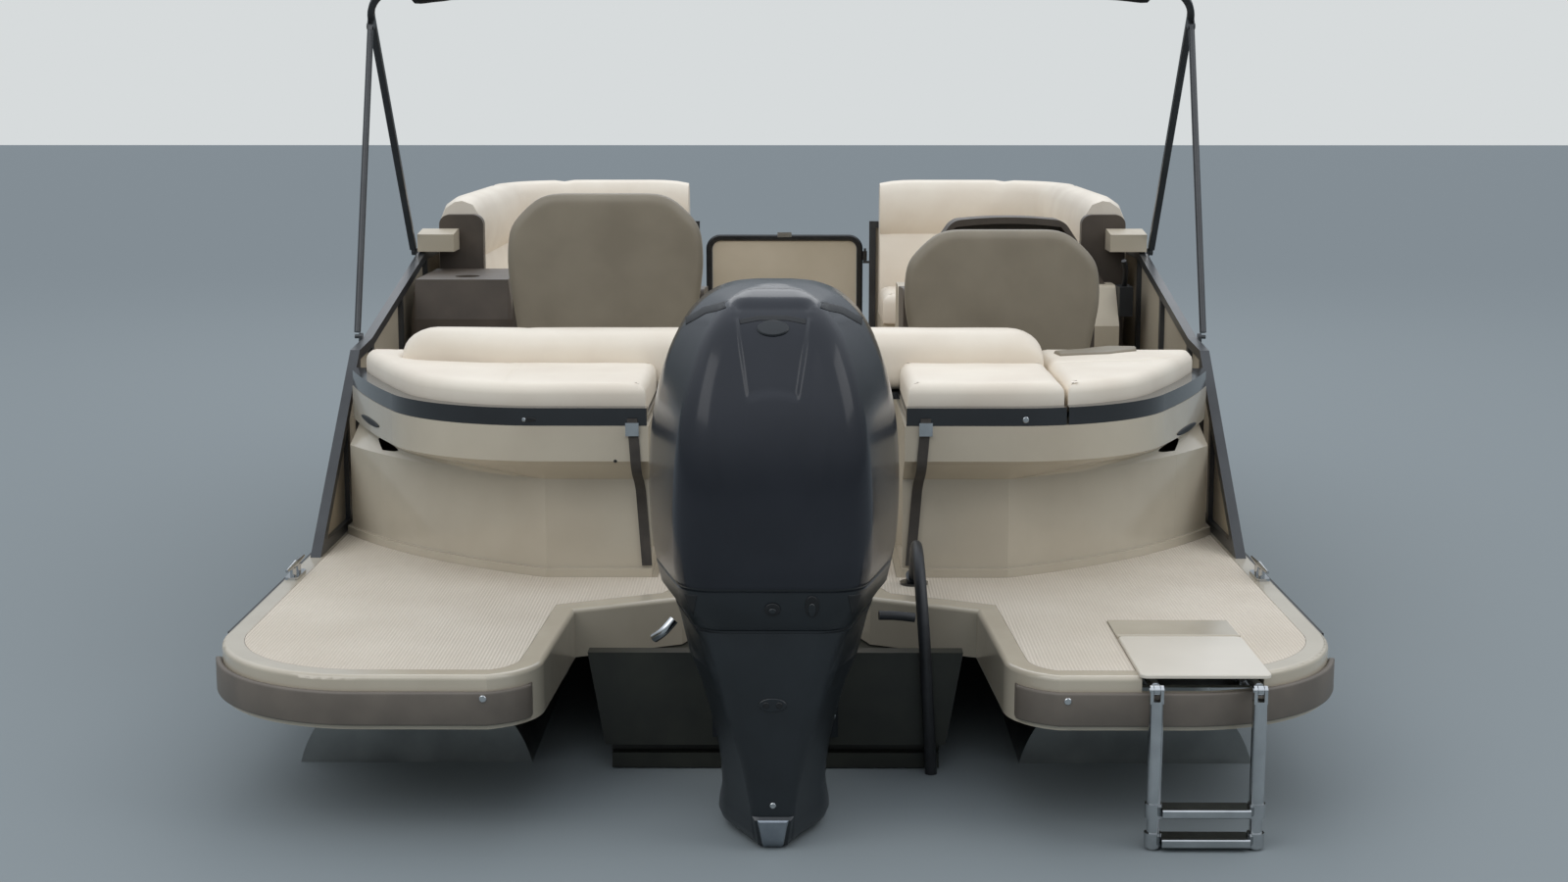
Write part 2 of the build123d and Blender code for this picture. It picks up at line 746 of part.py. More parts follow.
# The starboard fence carries the gate's hinge pins.
with BuildPart() as hinge_fence:
    add(fence.part)
    for z in (gate_low + 90, gate_top - 110):
        with BuildSketch(level(z - 12)):
            with Locations((gate_frame_half + 10, gate_y)):
                Circle(5)
        extrude(amount=64)
        with BuildSketch(level(z - 12)):
            with Locations((gate_frame_half + 10, gate_y)):
                Circle(9)
            with Locations((gate_half - 9, gate_y)):
                Rectangle(18, 10)
        extrude(amount=10)
save(hinge_fence.part, "fence_frame_starboard")

# Captain's chairs: fixed pedestals, with seat and back turning on them.
# name, centre, height of the back's top
chair_table = [("port", chair_port_x, 1317), ("starboard", chair_starboard_x, 1209)]
with BuildPart() as pedestals:
    for name, x, back_top in chair_table:
        # radius, bottom, height
        for radius, bottom, height in [(165, deck_top, 8), (40, deck_top + 8, chair_post_top - deck_top - 60),
                                       (32, chair_post_top - 52, 51.7)]:
            with BuildSketch(level(bottom)):
                with Locations((x, chair_y)):
                    Circle(radius)
            extrude(amount=height)
save(pedestals.part, "chair_pedestals")

for name, x, back_top in chair_table:
    with BuildPart() as chair:
        with BuildSketch(level(chair_post_top - 50)):
            with Locations((x, chair_y)):
                Circle(45)
                Circle(32 + pin_gap, mode=Mode.SUBTRACT)
        extrude(amount=50)
        with BuildSketch(level(chair_post_top)):
            with Locations((x, chair_y)):
                RectangleRounded(340, 300, 30)
        extrude(amount=30)
        with BuildSketch(level(chair_post_top + 30)):
            with Locations((x, chair_y - 15)):
                RectangleRounded(540, 510, 70)
        extrude(amount=60)
        for hand in (-1, 1):
            with BuildSketch(along(x + hand * 275)):
                with BuildLine():
                    Polyline((chair_y - 170, chair_post_top + 60), (chair_y + 60, chair_post_top + 60),
                             (chair_y + 150, chair_seat_top + 175), (chair_y - 165, chair_seat_top + 195), close=True)
                make_face()
                fillet(vertices(), 28)
            extrude(amount=18, both=True)
    save(chair.part, f"chair_shell_{name}")

    with BuildPart() as upholstery:
        with BuildSketch(level(chair_post_top + 90.3)):
            with Locations((x, chair_y + 20)):
                RectangleRounded(500, 430, 60)
        extrude(amount=chair_seat_top - chair_post_top - 90)
        fillet(upholstery.faces().sort_by(Axis.Z)[-1].edges(), 30)
        with BuildSketch(across(chair_back_face)):
            with BuildLine():
                shoulder = back_top - 95
                Polyline((x - 240, chair_post_top + 90.3), (x - 296, shoulder - 120), (x - 288, shoulder),
                         (x - 190, back_top), (x + 190, back_top), (x + 288, shoulder), (x + 296, shoulder - 120),
                         (x + 240, chair_post_top + 90.3), close=True)
            make_face()
            fillet(vertices().group_by(Axis.Y)[-1], 50)
        extrude(amount=-75)
    save(upholstery.part, f"chair_cushions_{name}")

wheel_plane = Plane(origin=(wheel_x, wheel_y, wheel_z), x_dir=(1, 0, 0),
                    z_dir=(0, -math.cos(math.radians(wheel_rake)), math.sin(math.radians(wheel_rake))))

# Helm console: moulded pedestal with a footwell, and a hooded dash.
with BuildPart() as helm:
    with BuildSketch(along(helm_port)):
        with BuildLine():
            Polyline((helm_aft + 90, deck_top), (helm_aft, deck_top + 330), (helm_aft, helm_top - 130),
                     (helm_aft + 110, helm_top), (helm_fore - 40, helm_top), (helm_fore, deck_top + 420),
                     (helm_fore, deck_top), close=True)
        make_face()
        fillet(vertices().group_by(Axis.Y)[-1], 30)
    extrude(amount=helm_starboard - helm_port)
    with BuildSketch(along(helm_port + 25)):
        with Locations((helm_aft, deck_top)):
            Rectangle(190, 330, align=(Align.MIN, Align.MIN))
    extrude(amount=helm_starboard - helm_port - 50, mode=Mode.SUBTRACT)
    with BuildSketch(wheel_plane.offset(-44.5)):
        Circle(34)
    extrude(amount=-95)
save(helm.part, "helm_console")

with BuildPart() as dash:
    with BuildSketch(across(helm_aft + 150)):
        with BuildLine():
            left = (helm_port + 40, helm_top + 0.3)
            right = (helm_starboard - 30, helm_top + 0.3)
            top = ThreePointArc((helm_port + 190, hood_top - 12), ((helm_port + helm_starboard) / 2, hood_top),
                                (helm_starboard - 175, hood_top - 12))
            Polyline(top @ 1, right, left, top @ 0)
        make_face()
        fillet(vertices().group_by(Axis.Y)[-1], 60)
    extrude(amount=-125)
    with BuildSketch(across(helm_aft + 150)):
        with BuildLine():
            inset = 22
            top = ThreePointArc((helm_port + 200, hood_top - 12 - inset),
                                ((helm_port + helm_starboard) / 2, hood_top - inset),
                                (helm_starboard - 185, hood_top - 12 - inset))
            Polyline(top @ 1, (helm_starboard - 62, helm_top + 42), (helm_port + 72, helm_top + 42), top @ 0)
        make_face()
    extrude(amount=-70, mode=Mode.SUBTRACT)
save(dash.part, "dash_pod")

# Steering wheel: rim, spokes and hub on a raked shaft.
with BuildPart() as wheel:
    with BuildSketch(Plane(origin=wheel_plane.origin, x_dir=wheel_plane.x_dir, z_dir=wheel_plane.y_dir)):
        with Locations((wheel_diameter / 2 - 15, 0)):
            RegularPolygon(14, 8)
    revolve(axis=Axis(wheel_plane.origin, wheel_plane.z_dir))
    with BuildSketch(wheel_plane.offset(-14)):
        Circle(42)
        for angle in (90, 210, 330):
            with Locations(Location((0, 0), angle)):
                with Locations((wheel_diameter / 4, 0)):
                    Rectangle(wheel_diameter / 2 - 20, 34)
    extrude(amount=18)
    with BuildSketch(wheel_plane.offset(-14)):
        Circle(16)
    extrude(amount=-30)
save(wheel.part, "steering_wheel")

# Side cabinet at the port chair: box with a moulded top and two cup holders.
with BuildPart() as side_cabinet:
    with BuildSketch(level(deck_top)):
        with Locations((-(side_cabinet_inner + lounge_outer) / 2, (side_cabinet_aft + side_cabinet_fore) / 2)):
            RectangleRounded(lounge_outer - side_cabinet_inner, side_cabinet_fore - side_cabinet_aft, 20)
    extrude(amount=side_cabinet_top - deck_top - 130)
    with BuildSketch(level(side_cabinet_top - 130)):
        with Locations((-(side_cabinet_inner + lounge_outer) / 2, (side_cabinet_aft + side_cabinet_fore) / 2)):
            RectangleRounded(lounge_outer - side_cabinet_inner, side_cabinet_fore - side_cabinet_aft, 20)
    extrude(amount=130, taper=8)
    with BuildSketch(level(side_cabinet_top)):
        with Locations((-(side_cabinet_inner + lounge_outer) / 2, side_cabinet_aft + 150)):
            Circle(42)
    extrude(amount=-70, mode=Mode.SUBTRACT)
save(side_cabinet.part, "side_cabinet")


def lounge_plan(outer, depth):
    """Plan of one bow lounge: an L along the side fence and across the bow, from outer inwards by depth."""
    with BuildLine() as outline:
        x = lounge_outer - outer
        y = lounge_fore - outer
        corner = lounge_corner - outer
        inner_corner = 160
        l1 = Line((x, lounge_aft), (x, y - corner))
        l2 = TangentArc(l1 @ 1, (x - corner, y), tangent=(0, 1))
        l3 = Line(l2 @ 1, (lounge_inner, y))
        l4 = Line(l3 @ 1, (lounge_inner, y - depth))
        l5 = Line(l4 @ 1, (x - depth - inner_corner, y - depth))
        l6 = TangentArc(l5 @ 1, (x - depth, y - depth - inner_corner), tangent=(1, 0))
        l7 = Line(l6 @ 1, (x - depth, lounge_aft))
        Line(l7 @ 1, l1 @ 0)
    return outline.line


# Bow lounges: moulded bases, seat cushions and a rolled back that turns across the bow.
with BuildPart() as lounge_base:
    extrude(face_at(lounge_plan(0, lounge_seat_depth), deck_top), amount=lounge_base_top - deck_top)
save_both(lounge_base.part, "lounge_bases")
with BuildPart() as lounge_seat:
    extrude(face_at(lounge_plan(lounge_back_depth + 2, lounge_seat_depth - lounge_back_depth + 15),
                    lounge_base_top + 0.3), amount=lounge_seat_top - lounge_base_top)
save_both(lounge_seat.part, "lounge_seats")
with BuildPart() as lounge_back:
    extrude(face_at(lounge_plan(0, lounge_back_depth), lounge_base_top + 0.3),
            amount=lounge_back_top - lounge_base_top)
save_both(lounge_back.part, "lounge_backs")

# Arm panels at the lounges' aft ends, and the moulded blocks on the rail beside them.
with BuildPart() as arm:
    with BuildSketch(across(lounge_aft - seat_gap)):
        with BuildLine():
            Polyline((lounge_outer - 175, lounge_base_top), (lounge_outer - 175, lounge_back_top - 60),
                     (lounge_outer - 20, lounge_back_top - 60), (lounge_outer - 20, lounge_base_top), close=True)
        make_face()
        fillet(vertices().group_by(Axis.Y)[-1], 35)
    extrude(amount=45)
save_both(arm.part, "lounge_arms")
with BuildPart() as block:
    with BuildSketch(along(fence_outer - 130)):
        with BuildLine():
            Polyline((block_aft, fence_high + 0.5), (block_aft, fence_high + 60), (block_fore, fence_high + 75),
                     (block_fore, fence_high + 0.5), close=True)
        make_face()
        fillet(vertices().group_by(Axis.Y)[-1], 14)
    extrude(amount=126)
save_both(block.part, "rail_blocks")

# Bimini frame: one bow from pivot to pivot, held up by a pair of braces, with the canvas rolled over its crown.
bimini_leg = (Vector(bimini_x, bimini_pivot_y, bimini_pivot_z), Vector(bimini_x, bimini_elbow_y, bimini_elbow_z))
leg_direction = (bimini_leg[1] - bimini_leg[0]).normalized()
bow_plane = Plane(origin=(0, bimini_pivot_y, bimini_pivot_z), x_dir=(1, 0, 0),
                  z_dir=Vector(1, 0, 0).cross(leg_direction))
jaw_place = (bimini_leg[1] - bimini_leg[0]).length       # along the leg, from its pivot
leg_length = jaw_place + 115
brace_eye = bimini_leg[1] + leg_direction.cross(Vector(1, 0, 0)) * -brace_offset


def bow_line(half, foot, top):
    """Centreline of the bow: two legs, rounded elbows and a crowned top, in the plane of the legs."""
    with BuildLine(bow_plane) as path:
        FilletPolyline((-half, foot), (-half, top), (0, top + bimini_rise), (half, top), (half, foot),
                       radius=(120, 900, 120))
    return path.line


with BuildPart() as bow:
    with BuildSketch(Plane(origin=bow_plane.from_local_coords((-bimini_x, 14)), z_dir=leg_direction)):
        RectangleRounded(bimini_tube, bimini_tube, tube_corner)
    sweep(path=bow_line(bimini_x, 14, leg_length))
    for hand in (-1, 1):
        with BuildSketch(along(hand * bimini_x)):
            with Locations((bimini_pivot_y, bimini_pivot_z)):
                Circle(15)
                Circle(pivot_radius + pin_gap, mode=Mode.SUBTRACT)
        extrude(amount=6, both=True)
        for cheek in (-1, 1):
            with BuildSketch(along(hand * bimini_x + cheek * (jaw_half - jaw_cheek / 2))):
                with Locations((brace_eye.Y, brace_eye.Z)):
                    Circle(10)
                with BuildLine():
                    Polyline((bimini_elbow_y, bimini_elbow_z + 18), (bimini_elbow_y, bimini_elbow_z - 18),
                             (brace_eye.Y, brace_eye.Z - 9), (brace_eye.Y, brace_eye.Z + 9), close=True)
                make_face()
            extrude(amount=jaw_cheek / 2, both=True)
        with BuildSketch(along(hand * bimini_x)):
            with Locations((brace_eye.Y, brace_eye.Z)):
                Circle(brace_pin)
        extrude(amount=jaw_half - jaw_cheek / 2, both=True)
save(bow.part, "bimini_bow")

# Pivots: brackets on the rail's outer face, each with the pin that a leg or a brace ends on.
with BuildPart() as pivots:
    for y, z in [(bimini_pivot_y, bimini_pivot_z), (bimini_foot_y, bimini_foot_z)]:
        with BuildSketch(along(fence_outer)):
            with Locations((y, z)):
                Circle(pivot_radius)
        extrude(amount=bimini_x + 7 - fence_outer)
        with BuildSketch(along(fence_outer)):
            with Locations((y, z)):
                Circle(pivot_radius + 5)
            with Locations((y, z - 12)):
                Rectangle(22, 24)
            with Locations((y, z - 26)):
                RectangleRounded(60, 14, 4)
        extrude(amount=bimini_x - 6.5 - fence_outer)
save_both(pivots.part, "bimini_pivots")

# Braces: from the jaws down to the aft pivots.
brace = Vector(bimini_x, bimini_foot_y, bimini_foot_z) - brace_eye
brace_direction = brace.normalized()
with BuildPart() as braces:
    with BuildSketch(Plane(origin=brace_eye + brace_direction * 13, x_dir=(1, 0, 0), z_dir=brace_direction)):
        Circle(brace_tube / 2)
    extrude(amount=brace.length - 13 - brace_foot_gap)
    with BuildSketch(along(bimini_x)):
        with Locations((brace_eye.Y, brace_eye.Z)):
            Circle(8)
        with BuildLine():
            side_step = Vector(0, -brace_direction.Z, brace_direction.Y) * 8
            strip = [brace_eye + side_step, brace_eye - side_step, brace_eye - side_step + brace_direction * 20,
                     brace_eye + side_step + brace_direction * 20]
            Polyline(*[(corner.Y, corner.Z) for corner in strip], close=True)
        make_face()
        with Locations((brace_eye.Y, brace_eye.Z)):
            Circle(brace_pin + pin_gap, mode=Mode.SUBTRACT)
    extrude(amount=jaw_half - jaw_cheek - seat_gap, both=True)
save_both(braces.part, "bimini_braces")

# Canvas boot: the rolled top, one long tube of cloth over the crown of the bow.
boot_half = bimini_x - 125
boot_bore = (bimini_tube / 2 - tube_corner) * math.sqrt(2) + tube_corner + seat_gap
boot_end = leg_length + bimini_rise * (bimini_x - boot_half) / bimini_x
with BuildPart() as boot:
    with BuildLine(bow_plane) as boot_line:
        FilletPolyline((-boot_half, boot_end), (0, leg_length + bimini_rise), (boot_half, boot_end), radius=900)
    with BuildSketch(Plane(origin=boot_line.line @ 0, z_dir=boot_line.line % 0)):
        Circle(boot_diameter / 2)
        Circle(boot_bore, mode=Mode.SUBTRACT)
    sweep()
save(boot.part, "bimini_boot")

# Ladder tray and arms under the hatch, with the clevis that the rails swing on.
with BuildPart() as tray:
    with BuildSketch(across(hatch_aft + 90)):
        with Locations((ladder_middle, deck_top)):
            Rectangle(pocket_width + 24, 22, align=(Align.CENTER, Align.MAX))
            Rectangle(pocket_width, 16, align=(Align.CENTER, Align.MAX), mode=Mode.SUBTRACT)
    extrude(amount=-(hatch_length - 100))
    for x in (ladder_port, ladder_starboard):
        with BuildSketch(across(ladder_pivot_y + 16)):
            with Locations((x, ladder_pivot_z)):
                Circle(ladder_arm_diameter / 2)
        extrude(amount=-(hatch_length - 20))
        with BuildSketch(level(deck_top - 16)):
            with Locations((x, hatch_aft + 120), (x, hatch_fore - 60)):
                Rectangle(34, 24)
        extrude(amount=ladder_pivot_z - deck_top + 16)
        with BuildSketch(along(x)):
            with Locations((ladder_pivot_y, ladder_pivot_z)):
                Circle(11)
            with Locations((ladder_pivot_y + 13, ladder_pivot_z)):
                Rectangle(26, 16)
        extrude(amount=6, both=True)
        with BuildSketch(along(x - 16)):
            with Locations((ladder_pivot_y, ladder_pivot_z)):
                Circle(5)
        extrude(amount=32)
save(tray.part, "ladder_tray")

# Ladder: three telescoping sections, shown pushed together, each with a tread at its foot.
ladder_names = ["ladder_upper", "ladder_middle", "ladder_lower"]
for index, label in enumerate(ladder_names):
    outer = rail_diameter / 2 - index * (rail_wall + pin_gap)
    foot = tread_top - 8 - index * tread_pitch
    head = ladder_pivot_z - 30 - index * 12
    with BuildPart() as section:
        for x in (ladder_port, ladder_starboard):
            with BuildSketch(level(foot)):
                with Locations((x, ladder_pivot_y)):
                    Circle(outer)
                    if index < ladder_sections - 1:
                        Circle(outer - rail_wall, mode=Mode.SUBTRACT)
            extrude(amount=head - foot)
            with BuildSketch(level(foot - 12)):
                with Locations((x, ladder_pivot_y)):
                    Circle(rail_diameter / 2 + 3)
                    if index < ladder_sections - 1:
                        Circle(outer - rail_wall, mode=Mode.SUBTRACT)
            extrude(amount=32)
            if index == 0:
                with BuildSketch(level(head)):
                    with Locations((x, ladder_pivot_y)):
                        Circle(outer)
                extrude(amount=8)
                for hand in (-1, 1):
                    with BuildSketch(along(x + hand * 11)):
                        with Locations((ladder_pivot_y, ladder_pivot_z)):
                            Circle(11)
                        with Locations((ladder_pivot_y, ladder_pivot_z - 14)):
                            Rectangle(22, 28)
                        with Locations((ladder_pivot_y, ladder_pivot_z)):
                            Circle(5 + pin_gap, mode=Mode.SUBTRACT)
                    extrude(amount=3.5, both=True)
        with BuildSketch(along(ladder_port + rail_diameter / 2)):
            with Locations((ladder_pivot_y, foot + 2)):
                RectangleRounded(58, 20, 5)
        extrude(amount=ladder_starboard - ladder_port - rail_diameter)
    save(section.part, label)

# Hatch lid over the ladder, hinged along its forward edge.
with BuildPart() as hatch:
    with BuildSketch(level(platform_top + 0.3)):
        with Locations((ladder_middle, hatch_aft)):
            Rectangle(hatch_width, hatch_length, align=(Align.CENTER, Align.MIN))
    extrude(amount=hatch_thickness)
    fillet(hatch.edges().filter_by(Axis.Z), 16)
    chamfer(hatch.faces().sort_by(Axis.Z)[-1].edges(), 2)
save(hatch.part, "hatch_lid")
with BuildPart() as hatch_hinge:
    with BuildSketch(along(ladder_middle - hatch_width / 2)):
        with Locations((hatch_fore + 8, platform_top + 5)):
            Circle(5)
        with Locations((hatch_fore + 8, platform_top)):
            Rectangle(10, 5, align=(Align.CENTER, Align.MIN))
    extrude(amount=hatch_width)
    with BuildSketch(level(platform_top)):
        with Locations((ladder_middle, hatch_fore + 14)):
            Rectangle(hatch_width, hatch_panel_fore - hatch_fore - 14, align=(Align.CENTER, Align.MIN))
    extrude(amount=4)
save(hatch_hinge.part, "hatch_hinge")

# Cleats: two on the platform's sides, horns along the boat.
with BuildPart() as cleat:
    with BuildSketch(level(platform_top)):
        with Locations((cleat_x, cleat_y)):
            RectangleRounded(34, 110, 12)
    extrude(amount=7)
    with BuildSketch(level(platform_top + 7)):
        with Locations((cleat_x, cleat_y - 26), (cleat_x, cleat_y + 26)):
            Circle(8)
    extrude(amount=20)
    with BuildSketch(across(cleat_y)):
        with Locations((cleat_x, platform_top + 33)):
            Circle(9)
    extrude(amount=95, both=True, taper=3)
save_both(cleat.part, "cleats")

# Straps: webbing hooked on the trim rail and let down to the plinth, either side of the motor.
strap_knee = band_bottom + 10
with BuildPart() as strap:
    with BuildSketch(along(strap_x - strap_width / 2)):
        with BuildLine():
            Polyline((lid_face - 4, cabinet_top + 22), (lid_face - 4, strap_knee),
                     (cabinet_face - cabinet_plinth - 4, platform_top + 30),
                     (cabinet_face - cabinet_plinth - seat_gap, platform_top + 30),
                     (lid_face - seat_gap, strap_knee), (lid_face - seat_gap, cabinet_top + 22), close=True)
        make_face()
    extrude(amount=strap_width)
save_both(strap.part, "straps")

# Outboard motor. Its housings are lofts through level sections.


def housing(sections):
    """Loft through level sections that taper aft: height, half width, half width aft, aft end, forward end."""
    faces = []
    for z, half, aft_half, aft, fore in sections:
        middle = (aft + fore) / 2
        with BuildSketch(level(z)) as section:
            with BuildLine():
                flank = FilletPolyline((0, fore), (half, fore), (half, middle), (aft_half, aft), (0, aft),
                                       radius=(front_corner * half, flank_bend * half, aft_corner * half))
                mirror(flank, about=Plane.YZ)
            make_face()
        faces.append(section.sketch)
    return loft(faces, ruled=True)


# corner radii of a housing, as shares of its half width
front_corner = 0.42
flank_bend = 1.5
aft_corner = 0.34

# Clamp bracket: two cheeks hooked over the transom, with the tilt tube between them.
with BuildPart() as clamp:
    for hand in (-1, 1):
        with BuildSketch(along(hand * clamp_half)):
            with BuildLine():
                Polyline((tilt_y - 34, tilt_z + 20), (tilt_y + 10, tilt_z + 34), (pod_thickness + 22, pod_top + 60),
                         (pod_thickness + 22, pod_top - 38), (pod_thickness + 0.3, pod_top - 38),
                         (pod_thickness + 0.3, pod_top + 0.3), (-0.3, pod_top + 0.3), (-0.3, pod_bottom + 30),
                         (-34, pod_bottom + 30), (-60, pod_top - 60), (tilt_y - 44, tilt_z - 20), close=True)
            make_face()
            with Locations((tilt_y, tilt_z)):
                Circle(tilt_radius + 0.3, mode=Mode.SUBTRACT)
        extrude(amount=hand * 32)
    with BuildSketch(along(-clamp_half - 32)):
        with Locations((tilt_y, tilt_z)):
            Circle(tilt_radius + 0.4)
            Circle(tilt_radius - 5, mode=Mode.SUBTRACT)
    extrude(amount=2 * (clamp_half + 32))
save(clamp.part, "clamp_bracket")

# Swivel bracket: turns on the tilt tube and carries the steering spindle.
with BuildPart() as swivel:
    with BuildSketch(along(-clamp_half + 4)):
        with Locations((tilt_y, tilt_z)):
            Circle(tilt_radius + 16)
            Circle(tilt_radius + 0.45, mode=Mode.SUBTRACT)
    extrude(amount=2 * clamp_half - 8)
    with BuildSketch(level(swivel_bottom)):
        with Locations((0, steer_y)):
            Circle(44)
    extrude(amount=swivel_top - swivel_bottom)
    with BuildSketch(along(-40)):
        with BuildLine():
            Polyline((tilt_y - 26, tilt_z + 16), (steer_y, swivel_top - 12), (steer_y, swivel_bottom + 14),
                     (tilt_y - 34, tilt_z - 60), (tilt_y - 26, tilt_z - 12), close=True)
        make_face()
    extrude(amount=80)
    with BuildSketch(level(swivel_bottom)):
        with Locations((0, steer_y)):
            Circle(spindle_radius + pin_gap)
    extrude(amount=swivel_top - swivel_bottom, mode=Mode.SUBTRACT)
save(swivel.part, "swivel_bracket")

# Top cowl: a tall shell, widest at its waist, with a crowned top.
with BuildPart() as cowl:
    housing([(cowl_seam, 268, 190, -618, 48), (650, 277, 196, -626, 52), (760, 281, 196, -628, 52),
             (880, 275, 188, -615, 46), (980, 258, 174, -588, 36), (1060, 232, 154, -550, 20),
             (1125, 196, 130, -500, -4), (1170, 150, 100, -440, -40), (1194, 98, 66, -375, -90),
             (1203, 52, 36, -315, -145)])
save(cowl.part, "motor_cowl")

# Lower pan: the tray that the cowl closes on.
with BuildPart() as pan:
    housing([(pan_bottom, 222, 156, -585, 24), (540, 256, 180, -610, 40), (cowl_seam - seat_gap, 267, 189, -617, 47)])
save(pan.part, "motor_pan")

# Leg: skirted upper housing, with the steering spindle at its forward edge.
leg_foot = 88
leg_aft = [(leg_foot, 113, 44, -560, steer_y - 60), (150, 115, 52, -567, steer_y - 59),
           (200, 122, 62, -572, steer_y - 58), (256, 134, 77, -578, steer_y - 57), (310, 149, 92, -582, steer_y - 56),
           (swivel_top + 2, 187, 124, -588, steer_y - 52)]
with BuildPart() as leg:
    housing(leg_aft)
    housing([leg_aft[-1], (pan_bottom - seat_gap, 221, 155, -585, 20)])
    for z0, z1 in [(swivel_top + 1, swivel_top + 40), (swivel_bottom - 41, swivel_bottom - 1)]:
        with BuildSketch(level(z0)):
            with Locations((0, steer_y)):
                Circle(50)
            with Locations((0, steer_y - 60)):
                Rectangle(90, 90)
        extrude(amount=z1 - z0)
    with BuildSketch(level(swivel_bottom - 41)):
        with Locations((0, steer_y)):
            Circle(spindle_radius)
    extrude(amount=swivel_top - swivel_bottom + 81)
save(leg.part, "motor_leg")

# Lower unit: the hem that closes the leg's skirt, strut, anti-ventilation plate, gear case, skeg and shaft.
gear_radius = 60
gear_nose = -205
gear_aft = -418
plate_z = -44
with BuildPart() as lower:
    housing([(plate_z + 6, 44, 26, -470, steer_y - 66), (20, 52, 31, -520, steer_y - 64),
             (leg_foot - seat_gap, 70, 41, -558, steer_y - 61)])
    housing([(6, 70, 30, -515, steer_y - 80), (24, 116, 38, -544, steer_y - 68), (40, 121, 40, -551, steer_y - 64),
             (leg_foot - seat_gap, 113, 44, -560, steer_y - 60)])
    with BuildSketch(level(plate_z)):
        with Locations((0, -400)):
            RectangleRounded(210, 480, 90)
    extrude(amount=7)
    housing([(shaft_z, 26, 15, -400, -235), (plate_z, 36, 22, -440, -238)])
    with BuildSketch(along(0)):
        with BuildLine():
            nose = ThreePointArc((gear_nose, shaft_z), (gear_nose - 22, shaft_z + gear_radius * 0.66),
                                 (gear_nose - 75, shaft_z + gear_radius))
            Polyline(nose @ 1, (gear_aft, shaft_z + gear_radius - 8), (gear_aft, shaft_z), nose @ 0)
        make_face()
    revolve(axis=Axis((0, 0, shaft_z), (0, 1, 0)))
    with BuildSketch(along(-6)):
        with BuildLine():
            Polyline((-230, shaft_z - 40), (-400, shaft_z - 40), (-430, shaft_z - 175), (-350, shaft_z - 185),
                     close=True)
        make_face()
    extrude(amount=12)
    with BuildSketch(across(gear_aft + 1)):
        with Locations((0, shaft_z)):
            Circle(14)
    extrude(amount=125)
save(lower.part, "lower_unit")

# Propeller: hub with three raked blades.
with BuildPart() as propeller:
    with BuildSketch(across(-422)):
        with Locations((0, shaft_z)):
            Circle(50)
            Circle(14 + pin_gap, mode=Mode.SUBTRACT)
    extrude(amount=105)
    for index in range(3):
        turn = index * 120
        root = Plane(origin=(0, -474, shaft_z), x_dir=(0, 1, 0), z_dir=(math.sin(math.radians(turn)), 0,
                                                                        math.cos(math.radians(turn))))
        faces = []
        # distance from the shaft, chord, thickness, pitch angle
        for radius, chord, thick, pitch in [(44, 90, 14, 52), (115, 150, 9, 32), (170, 120, 5, 24)]:
            with BuildSketch(root.offset(radius)) as blade:
                Rectangle(chord, thick, rotation=90 - pitch)
            faces.append(blade.sketch)
        loft(faces)
save(propeller.part, "propeller")

# Hose: ribbed rigging hose from a gland on the platform, over the rim of the motor well and down into the water.
hose_diameter = 29
hose_route = [(352, 374, 398), (350, 305, 468), (346, 205, 516), (344, 105, 520), (346, 25, 472), (351, -22, 388),
              (358, -36, 285), (364, -34, 175), (371, -28, 65), (377, -18, -45), (382, -2, -150), (384, 22, -245)]


def tube_radii(route):
    """Radius at each inner point of a cord's route: 0.45 of its shorter run over the tangent of half its turn."""
    points = [Vector(*point) for point in route]
    radii = []
    for before, at, after in zip(points, points[1:], points[2:]):
        turn = (at - before).get_angle(after - at)
        radii.append(0.45 * min((at - before).length, (after - at).length) / math.tan(math.radians(turn / 2)))
    return radii


hose_radii = tube_radii(hose_route)
print("hose radii", [round(radius) for radius in hose_radii], "diameters", round(min(hose_radii) / hose_diameter, 1))
with BuildPart() as hose:
    with BuildLine() as hose_path:
        hose_line = FilletPolyline(*hose_route, radius=hose_radii)
    with BuildSketch(Plane(origin=hose_line @ 0, z_dir=hose_line % 0)):
        Circle(hose_diameter / 2)
    sweep()
print("hose length", round(hose_line.length), "volume over section times length",
      round(hose.part.volume / (math.pi * (hose_diameter / 2) ** 2 * hose_line.length), 5))
save(hose.part, "hose")

# Gland: the flanged elbow that lets the hose out of the platform.
hose_start = hose_line @ 0
hose_out = hose_line % 0
with BuildPart() as gland:
    with BuildSketch(level(platform_top)):
        with Locations((hose_start.X, hose_start.Y + 12)):
            Circle(36)
    extrude(amount=6)
    with BuildSketch(Plane(origin=hose_start, z_dir=-hose_out)):
        Circle(hose_diameter / 2 + 7)
    extrude(amount=40)
    with BuildSketch(level(platform_top)):
        with Locations((hose_start.X, hose_start.Y)):
            Rectangle(150, 150)
    extrude(amount=-60, mode=Mode.SUBTRACT)
save(gland.part, "hose_gland")
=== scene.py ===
# Pontoon deck boat afloat, seen from astern: the finish of every surface, and the soft and moulded forms
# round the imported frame. Metres, in the frame's own axes: +X starboard, +Y forward, z = 0 is the water.
import math
import bmesh
import bpy
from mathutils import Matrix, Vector, noise
from mathutils.bvhtree import BVHTree
from mathutils.geometry import delaunay_2d_cdt


